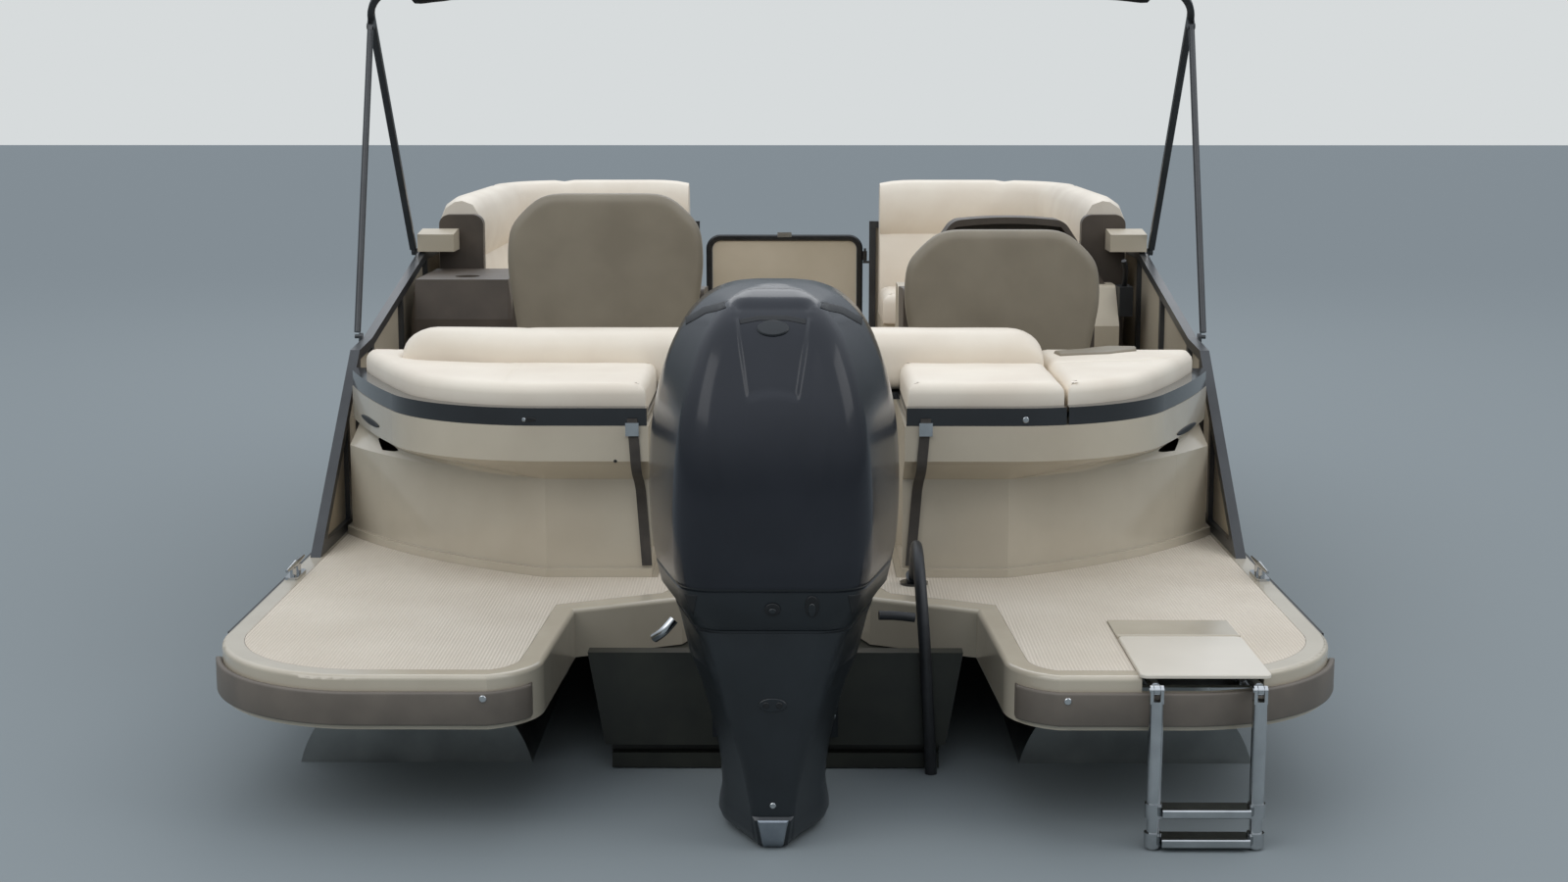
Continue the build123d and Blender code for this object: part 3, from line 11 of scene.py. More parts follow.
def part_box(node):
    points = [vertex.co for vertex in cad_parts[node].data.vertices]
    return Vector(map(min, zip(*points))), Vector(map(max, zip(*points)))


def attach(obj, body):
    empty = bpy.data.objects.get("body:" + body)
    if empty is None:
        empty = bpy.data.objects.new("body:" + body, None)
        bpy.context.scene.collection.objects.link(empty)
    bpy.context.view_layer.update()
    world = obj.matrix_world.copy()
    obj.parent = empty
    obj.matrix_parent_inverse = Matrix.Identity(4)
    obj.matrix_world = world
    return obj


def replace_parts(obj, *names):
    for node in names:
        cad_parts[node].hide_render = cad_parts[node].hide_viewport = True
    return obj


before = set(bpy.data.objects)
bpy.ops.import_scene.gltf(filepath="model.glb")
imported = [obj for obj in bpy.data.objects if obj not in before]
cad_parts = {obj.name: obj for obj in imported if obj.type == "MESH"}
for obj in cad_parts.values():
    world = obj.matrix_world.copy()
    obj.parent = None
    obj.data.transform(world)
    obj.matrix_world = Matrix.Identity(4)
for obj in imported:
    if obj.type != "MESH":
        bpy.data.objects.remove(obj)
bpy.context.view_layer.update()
mm = 0.001

# View: the photograph was taken standing on the dock's end, a little over seated eye height, looking down
# along the boat. Its horizon and the boat's vanishing point give the pitch and the turn.
eye = Vector((0.048, -5.016, 1.623))
look_down = math.radians(9.243)
turn_to_port = math.radians(0.31)
camera = bpy.data.objects.new("camera", bpy.data.cameras.new("camera"))
camera.data.sensor_width = 36
camera.data.lens = 2200 / 1600 * camera.data.sensor_width
camera.data.clip_end = 200
camera.location = eye
camera.rotation_euler = (math.pi / 2 - look_down, 0, turn_to_port)
bpy.context.collection.objects.link(camera)
bpy.context.scene.camera = camera
bpy.context.scene.view_settings.view_transform = "Standard"


def linear(text):
    """Linear RGBA of an sRGB hex colour."""
    parts = [int(text[i:i + 2], 16) / 255 for i in (0, 2, 4)]
    return [p / 12.92 if p <= 0.04045 else ((p + 0.055) / 1.055) ** 2.4 for p in parts] + [1.0]


def add_node(tree, kind, settings=None, links=None):
    """Adds a node. Settings in lower case are its properties, others its inputs. Links are input: output."""
    made = tree.nodes.new("ShaderNode" + kind)
    for name, value in (settings or {}).items():
        if isinstance(name, str) and name.islower():
            setattr(made, name, value)
        else:
            made.inputs[name].default_value = value
    for name, output in (links or {}).items():
        tree.links.new(output, made.inputs[name])
    return made


# Light: an overcast sky, brighter overhead than at the horizon, with one broad soft lamp high to port astern
# and a weaker one to starboard. The camera sees the plain pale background, and mirror-like surfaces the sky.
sky_colour, horizon_colour = "E6EDF6", "50585A"
background_colour = "D7DBDC"
world = bpy.data.worlds.new("overcast")
bpy.context.scene.world = world
world.use_nodes = True
world.node_tree.nodes.clear()
height = add_node(world.node_tree, "SeparateXYZ", links={
    "Vector": add_node(world.node_tree, "TexCoord").outputs["Generated"]})
sky = add_node(world.node_tree, "ValToRGB", links={"Fac": height.outputs["Z"]})
sky.color_ramp.elements[0].color = linear(horizon_colour)
sky.color_ramp.elements[1].color = linear(sky_colour)
sky.color_ramp.elements[1].position = 0.6
sky_light = add_node(world.node_tree, "Background", {"Strength": 1.22}, {"Color": sky.outputs["Color"]})
backdrop = add_node(world.node_tree, "Background", {"Color": linear(background_colour), "Strength": 1.0})
seen = add_node(world.node_tree, "LightPath")
mixed = add_node(world.node_tree, "MixShader", links={
    0: seen.outputs["Is Camera Ray"], 1: sky_light.outputs[0], 2: backdrop.outputs[0]})
add_node(world.node_tree, "OutputWorld", links={"Surface": mixed.outputs[0]})

# name, place, size in metres, power in watts
for name, place, size, power in [("lamp_port", (-5.0, -5.0, 7.0), 6.0, 170),
                                 ("lamp_starboard", (6.5, -2.0, 6.0), 5.0, 110),
                                 ("lamp_bow", (0.0, 9.0, 7.0), 6.0, 130)]:
    lamp = bpy.data.objects.new(name, bpy.data.lights.new(name, "AREA"))
    lamp.data.size = size
    lamp.data.energy = power
    lamp.location = place
    lamp.rotation_euler = (Vector((0, 1.5, 0.5)) - lamp.location).to_track_quat("-Z", "Y").to_euler()
    bpy.context.collection.objects.link(lamp)

# Floor: the water's level as a plain pale sheet, which keeps the boat's shadow.
floor_colour = "7F8688"
floor_reach = 60.0
floor_material = bpy.data.materials.new("floor_paper")
floor_material.use_nodes = True
floor_material.node_tree.nodes["Principled BSDF"].inputs["Base Color"].default_value = linear(floor_colour)
floor_material.node_tree.nodes["Principled BSDF"].inputs["Roughness"].default_value = 0.85
floor_mesh = bpy.data.meshes.new("floor")
floor_mesh.from_pydata([(x, y, 0) for x, y in [(-floor_reach, -floor_reach), (floor_reach, -floor_reach),
                                               (floor_reach, floor_reach), (-floor_reach, floor_reach)]],
                       [], [(0, 1, 2, 3)])
floor_mesh.materials.append(floor_material)
floor = bpy.data.objects.new("floor", floor_mesh)
bpy.context.collection.objects.link(floor)


def surface(name, colours, patch_mm, roughness, grain_mm, grain_depth_mm, **shader):
    """A finish whose colour drifts between two hex colours in patches, with a fine grain as bump."""
    made = bpy.data.materials.new(name)
    made.use_nodes = True
    tree = made.node_tree
    principled = tree.nodes["Principled BSDF"]
    for socket, value in shader.items():
        principled.inputs[socket.replace("_", " ")].default_value = value
    place = add_node(tree, "TexCoord").outputs["Object"]
    patches = add_node(tree, "TexNoise", {"Scale": 1 / (patch_mm * mm), "Detail": 4.0}, {"Vector": place})
    colour = add_node(tree, "ValToRGB", links={"Fac": patches.outputs["Fac"]})
    colour.color_ramp.elements[0].color = linear(colours[0])
    colour.color_ramp.elements[1].color = linear(colours[1])
    colour.color_ramp.elements[0].position = 0.32
    colour.color_ramp.elements[1].position = 0.68
    rough = add_node(tree, "MapRange", {"To Min": roughness * 0.8, "To Max": min(1.0, roughness * 1.2)},
                     {"Value": patches.outputs["Fac"]})
    grain = add_node(tree, "TexNoise", {"Scale": 1 / (grain_mm * mm), "Detail": 2.0}, {"Vector": place})
    bump = add_node(tree, "Bump", {"Strength": 1.0, "Distance": grain_depth_mm * mm},
                    {"Height": grain.outputs["Fac"]})
    tree.links.new(colour.outputs["Color"], principled.inputs["Base Color"])
    tree.links.new(rough.outputs["Result"], principled.inputs["Roughness"])
    tree.links.new(bump.outputs["Normal"], principled.inputs["Normal"])
    return made


def coat(material, *nodes):
    """Gives frame nodes their finish."""
    for node in nodes:
        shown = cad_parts[node]
        if not shown.material_slots:
            shown.data.materials.append(material)
        for part in shown.material_slots:
            part.material = material


# Hull: aluminium tubes with nose cones, welded to channels across the boat. Rolled sheet left bare, dulled
# by water, so its sheen is soft and varies in patches.
rolled_aluminium = surface("rolled_aluminium", ("8E9190", "A9ABA9"), 140, 0.38, 1.5, 0.02, Metallic=1.0)
coat(rolled_aluminium, "pontoon_port", "pontoon_starboard", "pontoon_center", "crossmembers")

# Motor pod: the transom plate and the pod ahead of it, welded sheet painted a dull dark olive.
pod_enamel = surface("pod_enamel", ("1F201A", "2B2C24"), 90, 0.42, 2.0, 0.03)
coat(pod_enamel, "motor_pod")

# Deck: marine plywood under woven vinyl floor, which is what shows in the cockpit.
floor_vinyl = surface("floor_vinyl", ("96897A", "A89A88"), 60, 0.8, 2.5, 0.4)
coat(floor_vinyl, "deck")

# Deck skirt and fence frames: extruded aluminium with a charcoal powder coat, cured to a slight orange peel.
powder_coat = surface("powder_coat", ("2B2C2E", "383A3C"), 120, 0.34, 1.2, 0.02, Coat_Weight=0.2,
                      Coat_Roughness=0.3)
coat(powder_coat, "deck_skirt", "fence_frame_port", "fence_frame_starboard", "bimini_bow", "bimini_pivots",
     "bimini_braces")
rail_rubber = surface("rail_rubber", ("1D1D1E", "2A2A2B"), 80, 0.55, 1.0, 0.03)
coat(rail_rubber, "rub_rail")

# Fence panels: thin aluminium sheet, painted tan outside and in.
panel_paint = surface("panel_paint", ("B6AA94", "C3B7A2"), 300, 0.42, 1.5, 0.015)
coat(panel_paint, "fence_panels", "gate_panel", "helm_console", "lounge_bases", "rail_blocks")

# Stern platform, sun pad cabinet and hatch: moulded glass-fibre with a beige gelcoat, glossy, with faint
# waves left by the mould.
gelcoat = surface("gelcoat", ("B6AB98", "C1B7A4"), 260, 0.2, 40.0, 0.25, Coat_Weight=0.35,
                  Coat_Roughness=0.08)
coat(gelcoat, "stern_platform", "sunpad_cabinet", "hatch_hinge")
hatch_gelcoat = surface("hatch_gelcoat", ("D3CABB", "DCD3C4"), 260, 0.3, 40.0, 0.1, Coat_Weight=0.2,
                        Coat_Roughness=0.1)
coat(hatch_gelcoat, "hatch_lid")

# Platform mat: woven vinyl in fine ribs along the boat, laid in the platform's recess. The ribs are drawn
# 8 mm apart, coarser than the real 4 mm, so that they show.
rib_pitch = 8 * mm
woven_vinyl = surface("woven_vinyl", ("CEC2B1", "D8CDBD"), 300, 0.72, 3.0, 0.3)
woven_tree = woven_vinyl.node_tree
woven_shader = woven_tree.nodes["Principled BSDF"]
woven_ribs = add_node(woven_tree, "TexWave", {"bands_direction": "X", "Scale": 0.314 / rib_pitch,
                                              "Distortion": 0.6, "Detail": 1.0, "Detail Scale": 60.0},
                      {"Vector": add_node(woven_tree, "TexCoord").outputs["Object"]})
rib_shade = add_node(woven_tree, "Mix", {"data_type": "RGBA", "blend_type": "MULTIPLY", 0: 0.30,
                                         7: (0.62, 0.58, 0.52, 1)},
                     {6: woven_shader.inputs["Base Color"].links[0].from_socket})
rib_mask = add_node(woven_tree, "MapRange", {"To Min": 0.0, "To Max": 0.36},
                    {"Value": woven_ribs.outputs["Fac"]})
woven_tree.links.new(rib_mask.outputs["Result"], rib_shade.inputs[0])
woven_tree.links.new(rib_shade.outputs[2], woven_shader.inputs["Base Color"])
woven_bump = add_node(woven_tree, "Bump", {"Strength": 1.0, "Distance": 0.8 * mm}, {
    "Height": woven_ribs.outputs["Fac"], "Normal": woven_shader.inputs["Normal"].links[0].from_socket})
woven_tree.links.new(woven_bump.outputs["Normal"], woven_shader.inputs["Normal"])
coat(woven_vinyl, "platform_mat")

# Bumpers: taupe rubber strips set on the platform's fascia.
bumper_rubber = surface("bumper_rubber", ("645C53", "6F665C"), 90, 0.5, 1.5, 0.03)
coat(bumper_rubber, "bumpers")

# Sun pad rims: gloss black extrusion bent round the lids.
rim_black = surface("rim_black", ("17181A", "222427"), 200, 0.16, 3.0, 0.01, Coat_Weight=0.5,
                    Coat_Roughness=0.06)
coat(rim_black, "sunpad_lid_port", "sunpad_lid_starboard", "sunpad_corner_lid", "gate_frame", "hose_gland")

trim_black = surface("trim_black", ("0C0D0E", "131416"), 40, 0.5, 1.0, 0.02)

# Polished stainless fittings.
stainless = surface("polished_stainless", ("B9BBBC", "CDCFD0"), 60, 0.16, 2.0, 0.004, Metallic=1.0)
coat(stainless, "cleats", "ladder_tray", "ladder_upper", "ladder_middle", "ladder_lower", "chair_pedestals")

# Moulded brown plastic of dash, side cabinet, chair shells and lounge arms.
brown_plastic = surface("brown_plastic", ("4A4138", "554B41"), 90, 0.45, 0.8, 0.05)
coat(brown_plastic, "dash_pod", "side_cabinet", "chair_shell_port", "chair_shell_starboard", "lounge_arms",
     "steering_wheel")

# Webbing straps.
webbing = surface("webbing", ("3A3632", "4A4540"), 30, 0.8, 1.5, 0.2)
coat(webbing, "straps")

# Upholstery.
cream_vinyl = surface("cream_vinyl", ("E2D5C3", "EADFCE"), 180, 0.5, 1.6, 0.12)
taupe_vinyl = surface("taupe_vinyl", ("7E7463", "8A806E"), 180, 0.5, 1.6, 0.12)
coat(cream_vinyl, "cushion_port", "cushion_starboard", "cushion_corner", "bolster_port", "bolster_starboard",
     "lounge_seats", "lounge_backs")
coat(taupe_vinyl, "chair_cushions_port", "chair_cushions_starboard")
canvas = surface("boot_canvas", ("151517", "222224"), 60, 0.85, 1.5, 0.3)
coat(canvas, "bimini_boot")

# Outboard motor: gloss cowl over satin housings.
cowl_gloss = surface("cowl_gloss", ("25272C", "2B2D33"), 300, 0.2, 60.0, 0.05, Coat_Weight=0.2,
                     Coat_Roughness=0.1, Specular_IOR_Level=0.2)
motor_satin = surface("motor_satin", ("14181B", "1B2024"), 120, 0.35, 1.0, 0.02, Coat_Weight=0.15,
                      Coat_Roughness=0.3)
coat(cowl_gloss, "motor_cowl")
coat(motor_satin, "motor_pan", "motor_leg", "lower_unit", "clamp_bracket", "swivel_bracket")
coat(stainless, "propeller")
leg_silver = surface("leg_silver", ("7E858C", "9AA1A8"), 60, 0.3, 1.5, 0.02, Metallic=0.7)
hose_rubber = surface("hose_rubber", ("1B1C1E", "26272A"), 30, 0.5, 2.0, 0.1)
coat(hose_rubber, "hose")

def piece(name, verts, faces, material, body, crease=32):
    """A mesh piece that rides on a body, smooth but for edges sharper than the crease in degrees."""
    mesh = bpy.data.meshes.new(name)
    mesh.from_pydata([tuple(v) for v in verts], [], faces)
    loose = bmesh.new()
    loose.from_mesh(mesh)
    bmesh.ops.recalc_face_normals(loose, faces=loose.faces)
    loose.to_mesh(mesh)
    loose.free()
    mesh.materials.append(material)
    for polygon in mesh.polygons:
        polygon.use_smooth = True
    mesh.set_sharp_from_angle(angle=math.radians(crease))
    shown = bpy.data.objects.new(name, mesh)
    bpy.context.collection.objects.link(shown)
    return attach(shown, body)


def skin(rings):
    """Vertices and faces of a surface through rings of equal length, capped at both ends."""
    count = len(rings[0])
    verts = [point for ring in rings for point in ring]
    faces = [(row * count + i, row * count + (i + 1) % count, (row + 1) * count + (i + 1) % count,
              (row + 1) * count + i)
             for row in range(len(rings) - 1) for i in range(count)]
    return verts, faces + [tuple(range(count)), tuple(range(len(verts) - count, len(verts)))]


def smooth_step(low, high, value):
    share = min(1.0, max(0.0, (value - low) / (high - low)))
    return share * share * (3 - 2 * share)


def foot_loops(node, up):
    """Closed outlines of the faces of a frame node that look away from up at its lowest level."""
    found = bmesh.new()
    found.from_mesh(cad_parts[node].data)
    bmesh.ops.remove_doubles(found, verts=found.verts, dist=0.02 * mm)
    lowest = min(vert.co.dot(up) for vert in found.verts)
    foot = {face for face in found.faces if face.normal.dot(up) < -0.9
            and max(vert.co.dot(up) for vert in face.verts) < lowest + 1 * mm}
    rim = {edge for edge in found.edges if len(foot & set(edge.link_faces)) == 1}
    loops = []
    while rim:
        edge = rim.pop()
        start, last = edge.verts
        loop = [start.co.copy(), last.co.copy()]
        while True:
            step = next((other for other in last.link_edges if other in rim), None)
            if step is None:
                break
            rim.discard(step)
            last = step.other_vert(last)
            loop.append(last.co.copy())
        loops.append(loop[:-1] if (loop[0] - loop[-1]).length < 0.1 * mm else loop)
    found.free()
    return loops


def even(loop, step):
    """A closed 2-D outline, counter-clockwise, with points at even steps and its corners kept."""
    area = sum(a.x * b.y - b.x * a.y for a, b in zip(loop, loop[1:] + loop[:1]))
    loop = loop if area > 0 else loop[::-1]
    sharp = math.radians(24)
    corners = [i for i, point in enumerate(loop)
               if abs((point - loop[i - 1]).angle_signed(loop[(i + 1) % len(loop)] - point, 0))
               > sharp] or [0]
    made = []
    for first, last in zip(corners, corners[1:] + [corners[0] + len(loop)]):
        run = [loop[i % len(loop)] for i in range(first, last + 1)]
        lengths = [0.0]
        for a, b in zip(run, run[1:]):
            lengths.append(lengths[-1] + (b - a).length)
        count = max(1, round(lengths[-1] / step))
        at = 0
        for k in range(count):
            place = lengths[-1] * k / count
            while lengths[at + 1] < place:
                at += 1
            share = (place - lengths[at]) / max(1e-9, lengths[at + 1] - lengths[at])
            made.append(run[at].lerp(run[at + 1], share))
    return made


def inset(loop, distance):
    """The closed outline moved inwards."""
    made = []
    for i, point in enumerate(loop):
        before = (point - loop[i - 1]).normalized()
        after = (loop[(i + 1) % len(loop)] - point).normalized()
        normal = Vector((-before.y - after.y, before.x + after.x))
        made.append(point + normal * (distance / max(0.6, 1 + before.dot(after))))
    return made


def off_line(point, line):
    """Distance of a 2-D point from a polyline."""
    best = 9.0
    for a, b in zip(line, line[1:]):
        run = b - a
        share = min(1.0, max(0.0, (point - a).dot(run) / max(1e-12, run.length_squared)))
        best = min(best, (point - a - run * share).length)
    return best


def pad(name, loop, low, high, material, body, edge=24 * mm, under=7 * mm, crown=5 * mm, seams=(),
        place=lambda u, v, w: (u, v, w), step=20 * mm, soft=1.6 * mm):
    """Upholstered pad over a 2-D outline: rounded edges, a soft crown, and seams pressed in.
    Each seam is a polyline, a half width and a depth. place turns plan and height into the frame's axes."""
    loop = even(loop, step)
    seams = [([Vector(point) for point in line], width, depth) for line, width, depth in seams]

    def rise(point, weight):
        dent = sum(depth * math.exp(-(off_line(point, line) / width) ** 2) for line, width, depth in seams)
        swell = crown * (1 - math.exp(-off_line(point, loop + loop[:1]) / (70 * mm)))
        slack = soft * noise.noise((point.x * 7, point.y * 7, len(name)))
        return weight * (swell + slack - dent)

    turns = [math.radians(turn) for turn in (0, 22, 45, 67, 90)]
    levels = [(under, low, 0), (under * 0.3, low + under * 0.3, 0), (0, low + under, 0)]
    levels += [(edge * (1 - math.cos(t)), high - edge * (1 - math.sin(t)), math.sin(t)) for t in turns]
    verts = []
    for distance, level, weight in levels:
        verts += [place(p.x, p.y, level + rise(p, weight)) for p in inset(loop, distance)]
    count = len(loop)
    faces = [(r * count + i, r * count + (i + 1) % count, (r + 1) * count + (i + 1) % count,
              (r + 1) * count + i)
             for r in range(len(levels) - 1) for i in range(count)]
    faces.append(tuple(range(count)))
    inner = inset(loop, edge)
    lows = [min(p[axis] for p in inner) for axis in (0, 1)]
    highs = [max(p[axis] for p in inner) for axis in (0, 1)]
    grid = []
    for line, width, depth in seams:
        for a, b in zip(line, line[1:]):
            across = Vector((a.y - b.y, b.x - a.x)).normalized()
            for k in range(max(1, int((b - a).length / step)) + 1):
                along = a.lerp(b, k / max(1, int((b - a).length / step)))
                grid += [along + across * (width * share) for share in (-1.8, -0.9, 0, 0.9, 1.8)]
    near = 2.4 * max([width for line, width, depth in seams], default=0)
    columns, rows = int((highs[0] - lows[0]) / step), int((highs[1] - lows[1]) / step)
    for i in range(columns + 1):
        for j in range(rows + 1):
            point = Vector((lows[0] + i * step, lows[1] + j * step))
            if all(off_line(point, line) > near for line, width, depth in seams):
                grid.append(point)
    ring = inner + inner[:1]

    def inside(point):
        crossings = 0
        for a, b in zip(ring, ring[1:]):
            if ((a.y > point.y) != (b.y > point.y)
                    and point.x < a.x + (b.x - a.x) * (point.y - a.y) / (b.y - a.y)):
                crossings += 1
        return crossings % 2 == 1

    grid = [point for point in grid if inside(point) and off_line(point, ring) > 0.4 * step]
    flat, _, top, _, _, _ = delaunay_2d_cdt(inner + grid, [(i, (i + 1) % count) for i in range(count)], [],
                                            1, 1e-6)
    base = len(verts)
    verts += [place(p.x, p.y, high + rise(p, 1)) for p in flat]
    faces += [tuple(base + i for i in face) for face in top]
    welded = bmesh.new()
    mesh = bpy.data.meshes.new(name + "_draft")
    mesh.from_pydata(verts, [], faces)
    welded.from_mesh(mesh)
    bmesh.ops.remove_doubles(welded, verts=welded.verts, dist=0.3 * mm)
    verts = [vert.co.copy() for vert in welded.verts]
    faces = [tuple(vert.index for vert in face.verts) for face in welded.faces]
    welded.free()
    bpy.data.meshes.remove(mesh)
    shown = piece(name, verts, faces, material, body, 60)
    return shown


def flat_loop(loop, axes=(0, 1)):
    return [Vector((point[axes[0]], point[axes[1]])) for point in loop]


# Sun pad: one foam cushion on each lid and on the corner, in grained vinyl, with a crown and a stitched line
# that follows the outer edge. The starboard and port cushions are pressed down along the headrest's foot.
up = Vector((0, 0, 1))
nook_corner = Vector((-1.059, 0.868))
taper_line = [(-0.70, 0.868), (-0.86, 0.895), (-0.99, 0.94), (-1.045, 0.99), (-1.059, 1.05)]
pad_seams = {
    "cushion_port": [([(-0.74, 0.848), (-0.87, 0.87), (-1.01, 0.92), (-1.085, 1.0), (-1.1, 1.17)], 3 * mm,
                      2 * mm),
                     ([(-0.70, 0.39), (-0.70, 0.86)], 3 * mm, 2.0 * mm)],
    "cushion_starboard": [([(0.02, 0.858), (0.735, 0.858)], 5 * mm, 5 * mm)],
    "cushion_corner": [([(0.75, 0.862), (0.98, 0.878), (1.15, 1.02), (1.19, 1.18)], 4 * mm, 5 * mm)]}
for node, body in [("cushion_port", "lid_port"), ("cushion_starboard", "lid_starboard"),
                   ("cushion_corner", "hull")]:
    low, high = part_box(node)
    loop = flat_loop(foot_loops(node, up)[0])
    if node == "cushion_port":
        # the pad fills in beside the headrest's tapered end
        nook = min(range(len(loop)), key=lambda i: (loop[i] - nook_corner).length)
        fill = [Vector(p) for p in taper_line]
        towards_centre = loop[nook - 1].x > loop[nook].x + 0.1
        loop = loop[:nook] + (fill if towards_centre else fill[::-1]) + loop[nook + 1:]
    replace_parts(pad(node + "_vinyl", loop, low.z, high.z - 1 * mm, cream_vinyl, body, edge=27 * mm,
                    seams=pad_seams[node]), node)

# Grey inset strip on the starboard corner; the cup well where a drink stands is not drawn.
corner_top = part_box("cushion_corner")[1].z + 4 * mm
corner_trim = [Vector(point) for point in [(0.79, 0.99), (0.93, 1.02), (1.02, 1.10), (1.03, 1.17),
                                           (0.95, 1.175), (0.86, 1.10), (0.78, 1.06)]]
pad("corner_armrest", corner_trim, corner_top - 12 * mm, corner_top + 6 * mm, taupe_vinyl, "hull",
    edge=8 * mm,
    crown=1 * mm, step=14 * mm)

# Headrest: the roll along the sun pad's front edge, its
# ends turned over and rounded, with one stitched joint.
roll_seam_x = -0.70
taper_share = 0.42        # how far the port end draws in
for node, body in [("bolster_port", "lid_port"), ("bolster_starboard", "lid_starboard")]:
    low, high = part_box(node)
    outer = low.x if node.endswith("port") and low.x < -0.1 else high.x
    inner = high.x if outer < 0 else low.x
    length = abs(outer - inner)
    depth, tall = high.y - low.y, high.z - low.z
    rings = []
    steps = [0, 3, 8, 16, 28] + [28 + (length / mm - 118) * k / 36 for k in range(1, 37)] + [
        length / mm - shrink for shrink in (68, 48, 30, 16, 7, 2, 0)]
    for away in steps:
        away *= mm
        x = inner + math.copysign(away, outer)
        end = max(0.0, 1 - (length - away) / (90 * mm))
        start = max(0.0, 1 - away / (14 * mm))
        shrink = (1 - 0.42 * (1 - math.sqrt(max(0.0, 1 - end * end)))
                  - 0.10 * (1 - math.sqrt(max(0.0, 1 - start * start))))
        shrink -= 0.03 * math.exp(-((x - roll_seam_x) / (5 * mm)) ** 2) if node == "bolster_port" else 0
        ring = []
        for k in range(44):
            turn = 2 * math.pi * k / 44
            # a rounded box: flat foot and back, and a full round aft shoulder
            across, rising = math.cos(turn), math.sin(turn)
            power = 0.42 if rising < 0 else 0.62
            y = ((low.y + high.y) / 2
                 + math.copysign(abs(across) ** power, across) * depth / 2 * (0.55 + 0.45 * shrink))
            y = high.y - (high.y - y) * (1 - taper_share * smooth_step(0.70, 1.06, -x))
            z = (low.z + tall / 2 * (1 + math.copysign(abs(rising) ** power, rising))
                 * (shrink if rising > 0 else 1))
            z -= 10 * mm * smooth_step(0.2, 1.0, (y - low.y) / depth) * max(0.0, rising)
            z += 1.5 * mm * noise.noise((x * 5, k * 0.3, 3.0)) * max(0.0, rising)
            ring.append((x, y, z))
        rings.append(ring)
    roll = piece(node + "_vinyl", *skin(rings), cream_vinyl, body, 55)
    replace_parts(roll, node)

# Captain's chairs: the seats, and the backs seen from behind, each one padded shell with a stitched edge;
# their lighter side panels are not drawn.
corner_rounds = 8           # passes that round the backs' corners
for side in ("port", "starboard"):
    body = "chair_" + side
    node = "chair_cushions_" + side
    low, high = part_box(node)
    loops = foot_loops(node, up)
    seat_loop = max(loops, key=lambda loop: max(p.y for p in loop) - min(p.y for p in loop))
    seat = pad("chair_seat_" + side, flat_loop(seat_loop), low.z, low.z + 120 * mm, taupe_vinyl, body,
               edge=34 * mm, crown=14 * mm, seams=[([(p.x, p.y)
                                       for p in inset(even(flat_loop(seat_loop), 40 * mm), 80 * mm)], 4 * mm,
                                      4 * mm)])
    back_loop = foot_loops(node, Vector((0, 1, 0)))[0]
    outline = even(flat_loop(back_loop, (0, 2)), 16 * mm)
    for _ in range(corner_rounds):
        outline = [(a + 2 * b + c) / 4
                   for a, b, c in zip(outline[-1:] + outline[:-1], outline, outline[1:] + outline[:1])]
    ring = inset(even(outline, 30 * mm), 30 * mm)
    line = [(p.x, p.y) for p in ring + ring[:1]]
    face_y, depth = 1.45, 75 * mm
    back = pad("chair_back_" + side, outline, -depth, 0, taupe_vinyl, body, edge=26 * mm, under=24 * mm,
               crown=0, seams=[(line, 2.5 * mm, 1.6 * mm)], place=lambda u, v, w: (u, face_y - w, v),
               step=18 * mm)
    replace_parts(back, node)
    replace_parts(seat, node)

